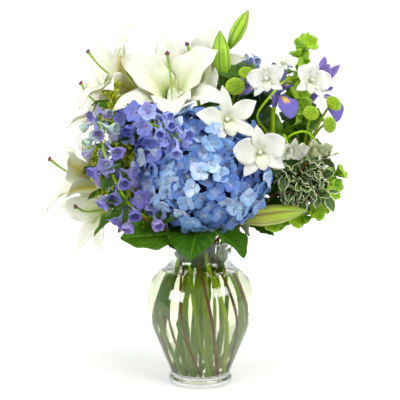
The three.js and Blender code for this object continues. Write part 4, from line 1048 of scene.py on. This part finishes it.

# %% [markdown]
# Between the florets one sees into the head, where their fine stalks stand close in deep shade. A dark
# inner ball with short stalks on it, painted dark blue and green as painted shade, gives that depth and stops
# daylight from shining through.

# %% The head's shaded inside
head_shade = Finish("hydrangea_inside", 0.8)
# Painted shade: the inside of the head is coloured dark blue and green.
painted_shade_colour = head_shade.ramp(head_shade.noise(120, 4.0), (0.35, "16233F"), (0.6, "27405C"), (0.8, "3C5A3A"))
head_shade.colour(painted_shade_colour)
head_shade.bump(head_shade.noise(260, 3.0), 0.8, 2.0)
t = np.linspace(0.03, 0.97, 26)
shadows = Bunch()
ball = turned(np.stack([np.sin(np.pi * t), -np.cos(np.pi * t)], -1), 40)
shadows.add((ball[0] * HEAD_RADII * 0.8 + HEAD_CENTRE, *ball[1:]))
for i in range(120):
    out = chance.normal(0, 1, 3)
    out /= np.linalg.norm(out)
    at = HEAD_CENTRE + HEAD_RADII * out * 0.77
    shadows.add(tube([at, at + out * 7, at + out * 13], [0.9, 0.7, 0.7], 5))
shadows.piece("hydrangea_inside", head_shade.material, "hydrangea", "hydrangea_head")

# %% [markdown]
# Delphinium florets stand on long pale stalks all round the spike. Five sepals open from a cup, the top
# one is drawn back into a spur, and in the middle is a small pale tuft. The left spike is violet and seen
# mostly from the side and back, the middle one is periwinkle with a little pink, and the small one at the
# top is the palest.

# %% Delphinium finish
def spur_finish(name, *tones):
    skin = Finish(name, 0.55, Specular_IOR_Level=0.3, Sheen_Weight=0.2)
    ground = skin.ramp(skin.tone, *tones)
    paler = skin.mix(skin.ramp(skin.along, (0.0, 0.55), (0.4, 0.12), (1.0, 0.0)), ground, "C9CDE8")
    veins = skin.sum("POWER", skin.ribs(5), 4.0)
    skin.colour(skin.mix(skin.sum("MULTIPLY", veins, 0.3), paler, "4A3FA0"))
    skin.bump(skin.ribs(6), 0.25, 0.25)
    skin.glow(0.3, 0.002)
    return skin.material


violet = spur_finish("delphinium_violet", (0.0, "5650A6"), (0.3, "7B77C4"), (0.6, "9D99D8"), (0.8, "8A6CBC"),
                     (1.0, "B6D0B4"))
periwinkle = spur_finish("delphinium_periwinkle", (0.0, "4C5ABA"), (0.4, "7C8CDA"), (0.75, "A2B0E6"),
                         (1.0, "AE8CCE"))
pale_blue = spur_finish("delphinium_pale", (0.0, "5A62B4"), (0.4, "8494D6"), (0.75, "B4C6EA"),
                        (1.0, "CBD8EE"))


def delphinium_floret(spike, at, way, reach, openness, tone):
    place = looking(at, way, chance.uniform(0, 70))
    for k in range(5):
        grid = petal(reach, reach * 0.8, lean=(44, -14 + 106 * openness),
                     turn=72 * k + chance.uniform(-6, 6), base=0.3, fullest=0.58, blunt=0.6, cup=0.3,
                     ruffle=0.7, phase=chance.uniform(0, 6), bend=0.8, rows=8, columns=5, root=1.0)
        spike.add(plate(grid, 0.5), place, np.clip(tone + chance.uniform(-0.1, 0.1), 0, 1))
    bend = carried(np.array([[0, 0, 2.0], [0, 0.5, -4], [1.5, 3, -10], [1, 7, -14]]), place)
    spike.add(tube(smooth_line(bend, 9), np.linspace(2.4, 0.5, 9), 7), tone=tone)
    spike.add(bead(1.9, 1.0, 6, 3), looking(at + way * 2, way), 1.0)


def delphinium_spike(name, finish, count, first, long, reach, buds, nod, top_tone):
    line, skin_form = stem_skin(name, thin=0.5)
    stalks = Bunch().add(skin_form)
    spike = Bunch()
    places = spiral(line, count, first) + spiral(line, count - 2, first + 0.02, 0.97, 68)
    for at, along, out, share, i in places:
        way = out + along * (0.2 + 0.7 * share) + np.array([0, -0.45, -0.1])
        way /= np.linalg.norm(way)
        reached = long * (1 - 0.4 * share) * chance.uniform(0.75, 1.0)
        spot = at + way * reached
        turn_down = way + np.array([0, -0.1, -nod])
        elbow = at + way * reached * 0.5 + np.array([0, 0, 3.5])
        stalks.add(stalk(at, elbow, spot - way * 2, thick=0.9, thin=0.6, tone=0.5, sides=5, count=9))
        tone = chance.uniform(0, 0.85) if share < 0.64 else top_tone + chance.uniform(-0.12, 0.12)
        open_share = chance.uniform(0.1, 0.85) * (1 - 0.6 * share ** 3)
        delphinium_floret(spike, spot, turn_down, reach * (1 - 0.22 * share), open_share, tone)
    for at, along, out, share, i in spiral(line, buds, 0.93, 1.0, 40):
        tip = at + (out + along) * 7
        stalks.add(stalk(at, tip, thick=0.8, thin=0.6, tone=0.5, sides=5, count=4))
        spike.add(bead(3.0, 1.6, 8, 5), looking(tip, out + along * 1.5), chance.uniform(0, 0.4))
    stalks.piece(name + "_stalks", bark.material, "stem", name)
    spike.piece(name + "_florets", finish, "delphinium", name)


delphinium_spike("delphinium_left", violet, 16, 0.62, 25, 15.5, 5, 0.9, 0.94)
delphinium_spike("delphinium_front", periwinkle, 13, 0.74, 28, 16.5, 4, 0.5, 0.5)
delphinium_spike("delphinium_top", pale_blue, 8, 0.82, 19, 13, 5, 0.5, 0.6)

# %% [markdown]
# The filler is goldenrod in bud: thin arching side branches crowded with beads of yellow-green. The beads
# are tiny, so each has only a few faces and the crowd does the work.

# %% Goldenrod
BEADS = 56  # on each side branch
golden = Finish("goldenrod_buds", 0.65)
bud_light = golden.ramp(golden.tone, (0.0, "869C0E"), (0.5, "BECA12"), (1.0, "E2DC2A"))
golden.colour(golden.mix(golden.sum("MULTIPLY", golden.noise(900), 0.35), bud_light, "6C8A12"))
golden.bump(golden.noise(1200), 0.5)


def goldenrod(name, branches, first, reach):
    line, skin_form = stem_skin(name, thin=0.6)
    stalks = Bunch().add(skin_form)
    beads = Bunch()
    for at, along, out, share, i in spiral(line, branches, first):
        way = out + along * (0.5 + 1.1 * share) + np.array([0, -0.5, 0])
        way /= np.linalg.norm(way)
        long = reach * (1 - 0.4 * share)
        arch = smooth_line([at, at + way * long * 0.6 + [0, 0, 2.5], at + way * long + [0, 0, -1]], 15)
        stalks.add(tube(arch, np.linspace(0.8, 0.4, 15), 5, tone=0.25))
        for k in range(BEADS):
            spot = arch[2 + (k * 13) // BEADS]
            off = chance.normal(0, 1, 3)
            off[2] = abs(off[2])
            off *= chance.uniform(1.5, 6.0) / np.linalg.norm(off)
            form = bead(chance.uniform(1.1, 1.8), 1.2, 5, 3)
            beads.add(form, looking(spot + off, off), chance.uniform(0, 1))
    stalks.piece(name + "_stalks", bark.material, "stem", name)
    beads.piece(name + "_beads", golden.material, "goldenrod", name)


goldenrod("goldenrod_high", 28, 0.6, 31)
goldenrod("goldenrod_low", 26, 0.58, 29)

# %% [markdown]
# The white orchids are dendrobiums: three pointed sepals, two broad round petals in front of them, and a
# small folded lip below a stubby column. The white is faintly green in the heart, and greener in the last
# flower of the low spray, which is just opening. One bloom of the high spray is narrow and starry.

# %% Orchid finish and form
orchid_white = Finish("orchid_petal", 0.5, Specular_IOR_Level=0.35, Sheen_Weight=0.1)
clean = orchid_white.ramp(orchid_white.along, (0.0, "B2C27E"), (0.26, "D8DACC"), (1.0, "DFDFDC"))
orchid_white.colour(orchid_white.mix(orchid_white.sum("MULTIPLY", orchid_white.tone, 0.85), clean, "CFDA92"))
orchid_white.bump(orchid_white.ribs(8), 0.2, 0.25)
orchid_white.glow(0.15, 0.002)


def orchid(size, tone, seed, starry=False):
    draw = np.random.default_rng(seed)
    bloom = Bunch()
    for turn, broad in ((90, False), (222, False), (318, False), (18, True), (162, True)):
        wide, long = (20 if broad else 14, 36) if starry else (29 if broad else 15, 30)
        end = draw.uniform(84, 98) + (4 if not broad else -4)
        grid = petal(long * size, wide * size, lean=(48, end), turn=turn + draw.uniform(-4, 4), base=0.25,
                     fullest=0.52 if broad else 0.5, blunt=0.72 if broad and not starry else 0.95,
                     cup=0.16, ruffle=2.6 if broad else 1.0, waves=1.8, phase=draw.uniform(0, 6), bend=0.6,
                     rows=15, columns=9, twist=draw.uniform(-10, 10), root=1.5)
        bloom.add(plate(grid, 0.6, tone))
    lip = petal(21 * size, 14 * size, lean=(20, 112), turn=270, base=0.35, fullest=0.62, blunt=0.6, cup=-0.25,
                ruffle=1.2, waves=3, rows=14, columns=9, root=1.5, wrap=0.8)
    bloom.add(plate(lip, 0.6, min(tone + 0.25, 1)))
    column = smooth_line([[0, 1, -1], [0, 1.5, 4], [0, -0.5, 8]], 8)
    bloom.add(tube(column, [2.4, 2.6, 2.6, 2.6, 2.5, 2.3, 1.9, 1.2], 9), tone=min(tone + 0.1, 1))
    bloom.add(tube([[0, 0, 1], [0, 0, -4], [0, -1, -9.2]], [2.2, 1.7, 1.4], 8), tone=0.9)
    return bloom


STARRY = "orchid_spray_high_bloom_1"  # its sepals and petals are long, narrow and pointed
ORCHIDS = {
    "orchid_spray_high": [((31, -88, 343), 14, 12, 12, 1.15, 0.05), ((81, -64, 392), -22, 8, 10, 0.82, 0.0),
                          ((103, -40, 411), 10, 40, 0, 0.6, 0.1), ((134, -52, 391), 24, 2, -15, 0.88, 0.0)],
    "orchid_spray_low": [((70, -106, 305), -2, 6, 12, 1.1, 0.05), ((107, -76, 310), 18, -44, 0, 0.75, 0.2),
                         ((139, -52, 311), 14, -52, 20, 0.8, 0.75)],
}
for name, blooms in ORCHIDS.items():
    line, skin_form = stem_skin(name, thin=0.7)
    stalks = Bunch().add(skin_form)
    for k, (base, bearing, rise, roll, size, tone) in enumerate(blooms):
        ends = seat(base, bearing, rise, 9)
        stalks.add(stalk(nearest_fork(line, ends[0]), *ends, thick=1.4, thin=1.3, tone=0.3))
        node = f"{name}_bloom_{k + 1}"
        bloom = orchid(size, tone, 60 + k, node == STARRY).carry(facing(base, bearing, rise, roll))
        bloom.piece(node + "_fine", orchid_white.material, "orchid", node)
    stalks.piece(name + "_stalks", bark.material, "stem", name + "_stem")

# %% [markdown]
# An iris has three falls that hang, each with a yellow signal patch, three standards that stand up, and
# three short style arms that lie over the falls. The colour runs from deep violet to lilac.

# %% Iris finish and form
iris_violet = Finish("iris_petal", 0.5, Specular_IOR_Level=0.3, Sheen_Weight=0.2)
ground = iris_violet.ramp(iris_violet.tone, (0.0, "4A3A94"), (0.45, "6F66BE"), (1.0, "AC92DE"))
half_way = iris_violet.ramp(iris_violet.along, (0.3, 0.0), (0.4, 1.0), (0.52, 1.0), (0.64, 0.0))
near_middle = iris_violet.ramp(iris_violet.middle(), (0.25, 1.0), (0.5, 0.0))
patch = iris_violet.sum("MULTIPLY", half_way, near_middle)
only_falls = iris_violet.sum("MULTIPLY", patch, iris_violet.sum("LESS_THAN", iris_violet.tone, 0.5))
veins = iris_violet.sum("POWER", iris_violet.ribs(9), 3.0)
veined = iris_violet.mix(iris_violet.sum("MULTIPLY", veins, 0.35), ground, "3A2A88")
iris_violet.colour(iris_violet.mix(only_falls, veined, "F2B21C"))
iris_violet.bump(iris_violet.ribs(9), 0.25, 0.3)
iris_violet.glow(0.25, 0.003)
IRISES = {"iris_near": ((94, -27, 373), 8, 62, 14, 0.86), "iris_far": ((147, 8, 376), 42, 56, 0, 0.94)}


def iris(size, seed):
    draw = np.random.default_rng(seed)
    bloom = Bunch()
    for turn in (-90, 30, 150):
        fall = petal(62 * size, 30 * size, lean=(35, 158), bend=0.9, fullest=0.72, base=0.24, blunt=0.8,
                     root=3, ruffle=1.8, waves=2.6, phase=draw.uniform(0, 6), turn=turn, rows=26,
                     columns=11, cup=0.05)
        bloom.add(plate(fall, 0.6, draw.uniform(0.1, 0.45)))
        arm = petal(30 * size, 12 * size, lean=(22, 66), fullest=0.6, base=0.4, root=3, turn=turn,
                    rows=12, columns=7, cup=0.3)
        bloom.add(plate(arm, 0.6, 0.8))
    for turn in (90, 210, 330):
        standard = petal(54 * size, 20 * size, lean=(16, 6), fullest=0.62, base=0.3, cup=0.3, root=3,
                         turn=turn, ruffle=1.2, phase=draw.uniform(0, 6), twist=draw.uniform(-20, 20),
                         rows=20, columns=9)
        bloom.add(plate(standard, 0.6, draw.uniform(0.55, 0.95)))
    ovary = turned([[1.6, -15], [3.4, -13], [4.2, -6], [5.6, 0], [6, 3], [4, 5], [0.01, 5.4]], 14)
    return bloom.add(ovary, tone=0.7)


for k, (name, (base, bearing, rise, roll, size)) in enumerate(IRISES.items()):
    line, skin_form = stem_skin(name, more=[p.tolist() for p in seat(base, bearing, rise, 15)])
    Bunch().add(skin_form).piece(name + "_stalk", bark.material, "stem", name + "_stem")
    bloom = iris(size, 70 + k).carry(facing(base, bearing, rise, roll))
    bloom.piece(name + "_bloom_fine", iris_violet.material, "iris", name + "_bloom")

# %% [markdown]
# Button chrysanthemums are hundreds of tiny tubes packed in a dome, in the same spiral as a sunflower's
# seeds: lime at the rim, greener and tighter in the middle.

# %% Buttons
button_green = Finish("button_florets", 0.6)
packed = button_green.ramp(button_green.tone, (0.0, "7FA818"), (0.5, "A9C920"), (1.0, "C8DC3C"))
at_foot = button_green.ramp(button_green.along, (0.0, 0.8), (0.7, 0.0))
button_green.colour(button_green.mix(at_foot, packed, "4F7A12"))
button_green.bump(button_green.noise(900), 0.4)
button_green.glow(0.15)
TUBES = 110  # on each head
BUTTONS = {
    "button_spray_right": [((165, -37, 364), 40, 35, 11), ((159, -46, 338), 40, 10, 10.5),
                           ((134, -66, 352), 5, 35, 10)],
    "button_spray_top": [((43, -34, 385), 0, 30, 12.5), ((58, -20, 402), 15, 50, 10.5)],
}


def button_head(radius):
    button = Bunch()
    t = np.linspace(0.06, 0.94, 10)
    dome = np.stack([np.sin(np.pi * t) * radius * 0.86, -np.cos(np.pi * t) * radius * 0.55], -1)
    button.add(turned(dome, 18, 0.0))
    for i in range(TUBES):
        height = 1 - (i + 0.5) / TUBES * 1.25
        flat = math.sqrt(1 - height * height)
        a = math.radians(i * GOLDEN_ANGLE)
        out = np.array([flat * math.cos(a), flat * math.sin(a), height])
        at = out * radius * [0.82, 0.82, 0.52]
        tip = bead(radius * 0.115, 1.7, 5, 3)
        tone = np.clip(0.25 + 0.6 * (1 - height) + chance.normal(0, 0.12), 0, 1)
        button.add(tip, looking(at, out + [0, 0, 0.25]), tone)
    return button


for name, heads in BUTTONS.items():
    line, skin_form = stem_skin(name, thin=0.7)
    stalks = Bunch().add(skin_form)
    for k, (at, bearing, rise, radius) in enumerate(heads):
        place = facing(at, bearing, rise)
        under = np.array(at) - place[:3, 2] * radius * 0.4
        knots = (nearest_fork(line, at), under - place[:3, 2] * 8, under)
        stalks.add(stalk(*knots, thick=1.5, thin=1.5, tone=0.55))
        button = button_head(radius).carry(place)
        button.piece(f"{name}_head_{k + 1}", button_green.material, "button", name)
    stalks.piece(name + "_stalks", bark.material, "stem", name)

# %% [markdown]
# Bells of Ireland grow in rings up a square stem. Each bell is a papery green cup with five shallow
# lobes and a net of paler veins, and a tiny flower sits at its bottom. They crowd, so from a distance they
# look like a frill.

# %% Bells
bell_green = Finish("bell_cups", 0.5, Specular_IOR_Level=0.35)
papery = bell_green.ramp(bell_green.along, (0.0, "70A00C"), (0.6, "9CC61A"), (1.0, "BEDC34"))
net = bell_green.sum("POWER", bell_green.ribs(5), 6.0)
netted = bell_green.mix(bell_green.sum("MULTIPLY", net, 0.5), papery, "C8E470")
bell_green.colour(bell_green.mix(bell_green.sum("MULTIPLY", bell_green.noise(200), 0.4), netted, "4F8A12"))
bell_green.bump(bell_green.noise(350, 4.0), 0.5, 0.5)
bell_green.glow(0.25, 0.002)


def bell_cup(size, seed):
    """A thin cup, drawn as a strip that goes right round the axis, out and back in."""
    angles = np.linspace(0, 2 * np.pi, 30, endpoint=False)
    lobes = 1 + 0.07 * np.cos(5 * angles + seed) + 0.03 * np.cos(9 * angles + 2 * seed)
    up = [(0.4, -1.5), (3.2, 0.6), (6.4, 3.6), (9.4, 7.4), (11.6, 10.6), (13.2, 12.8)]
    down = [(r - 0.75, z + 0.55) for r, z in up[:0:-1]] + [(0.3, 0.8)]
    rings = []
    for k, (r, z) in enumerate(up + down):
        edge = max(0.0, (r - 6) / 7)
        wave = 1 + (lobes - 1) * edge
        high = z + 1.3 * edge * np.sin(5 * angles + seed * 3)
        rings.append(np.stack([r * wave * np.cos(angles), r * wave * np.sin(angles), high], -1) * size)
    rings = np.array(rings)
    return rings_closed(rings, rings[0].mean(axis=0), rings[-1].mean(axis=0))


BELLS = {"bells_high": (6, 0.66, 1.25), "bells_low": (5, 0.68, 1.1)}
for name, (pairs, first, size) in BELLS.items():
    line, skin_form = stem_skin(name, thin=0.6)
    Bunch().add(skin_form).piece(name + "_stalk", bark.material, "stem", name)
    cups = Bunch()
    for at, along, out, share, i in spiral(line, 2 * pairs - 1, first, 0.99):
        for turn in (0, 180):
            a = math.radians(turn - i * (GOLDEN_ANGLE - 90))
            side = out * math.cos(a) + np.cross(along, out) * math.sin(a)
            place = looking(at + side, side + along * chance.uniform(0.4, 0.9), chance.uniform(0, 360))
            cup_size = size * (1 - 0.28 * share) * (1.0 if i % 2 == 0 else 0.78)
            cups.add(bell_cup(cup_size, chance.uniform(0, 6)), place, chance.uniform(0, 1))
            cups.add(bead(1.6, 1.6, 6, 4), place @ np.array(Matrix.Translation((0, 0, 3.2))), 1.0)
    cups.piece(name + "_cups", bell_green.material, "bells", name)

# %% [markdown]
# Variegated pittosporum has small oval leaves, dark grey-green in the middle and cream at the wavy edge,
# set close round thin dark twigs.

# %% Pittosporum
variegated = Finish("pittosporum_leaf", 0.4, Specular_IOR_Level=0.45)
wander = variegated.sum("MULTIPLY_ADD", variegated.noise(260, 3.0), 0.5, -0.25)
edge = variegated.ramp(variegated.sum("ADD", variegated.middle(), wander), (0.74, 0.0), (0.9, 1.0))
deep = variegated.mix(variegated.noise(180), "30501A", "587C38")
pale_vein = variegated.mix(variegated.sum("LESS_THAN", variegated.middle(), 0.07), deep, "6F8850")
variegated.colour(variegated.mix(edge, pale_vein, "E4E7B8"))
variegated.bump(variegated.noise(300), 0.4, 0.4)
variegated.glow(0.1)
TWIGS = [[128, -64, 260], [160, -34, 298], [158, -52, 250], [104, -60, 276], [140, -58, 282],
         [128, -48, 246], [116, -40, 262], [150, -52, 272], [112, -56, 254]]
line, skin_form = stem_skin("pittosporum", thin=0.6)
stalks = Bunch().add(skin_form)
leaves = Bunch()
for k, to in enumerate(TWIGS):
    start = nearest_fork(line, to)
    twig = smooth_line([start, (start + np.array(to)) / 2 + [0, 0, 3], to], 30)
    stalks.add(tube(twig, np.linspace(1.3, 0.7, 30), 6, 0.98))
    for at, along, out, share, i in spiral(twig, 15, 0.2, 0.98, 50 * k):
        grid = petal(23 * chance.uniform(0.7, 1.1), 13.5, lean=(0, chance.uniform(10, 55)), turn=-90,
                     base=0.12, fullest=0.46, cup=0.15, ruffle=1.6, waves=2.2, phase=chance.uniform(0, 6),
                     rows=11, columns=7)
        place = looking(at, out + along * 0.75, chance.uniform(-60, 60))
        leaves.add(plate(grid, 0.5), place, chance.uniform(0, 1))
stalks.piece("pittosporum_twigs", bark.material, "stem", "pittosporum")
leaves.piece("pittosporum_leaves", variegated.material, "pittosporum", "pittosporum")
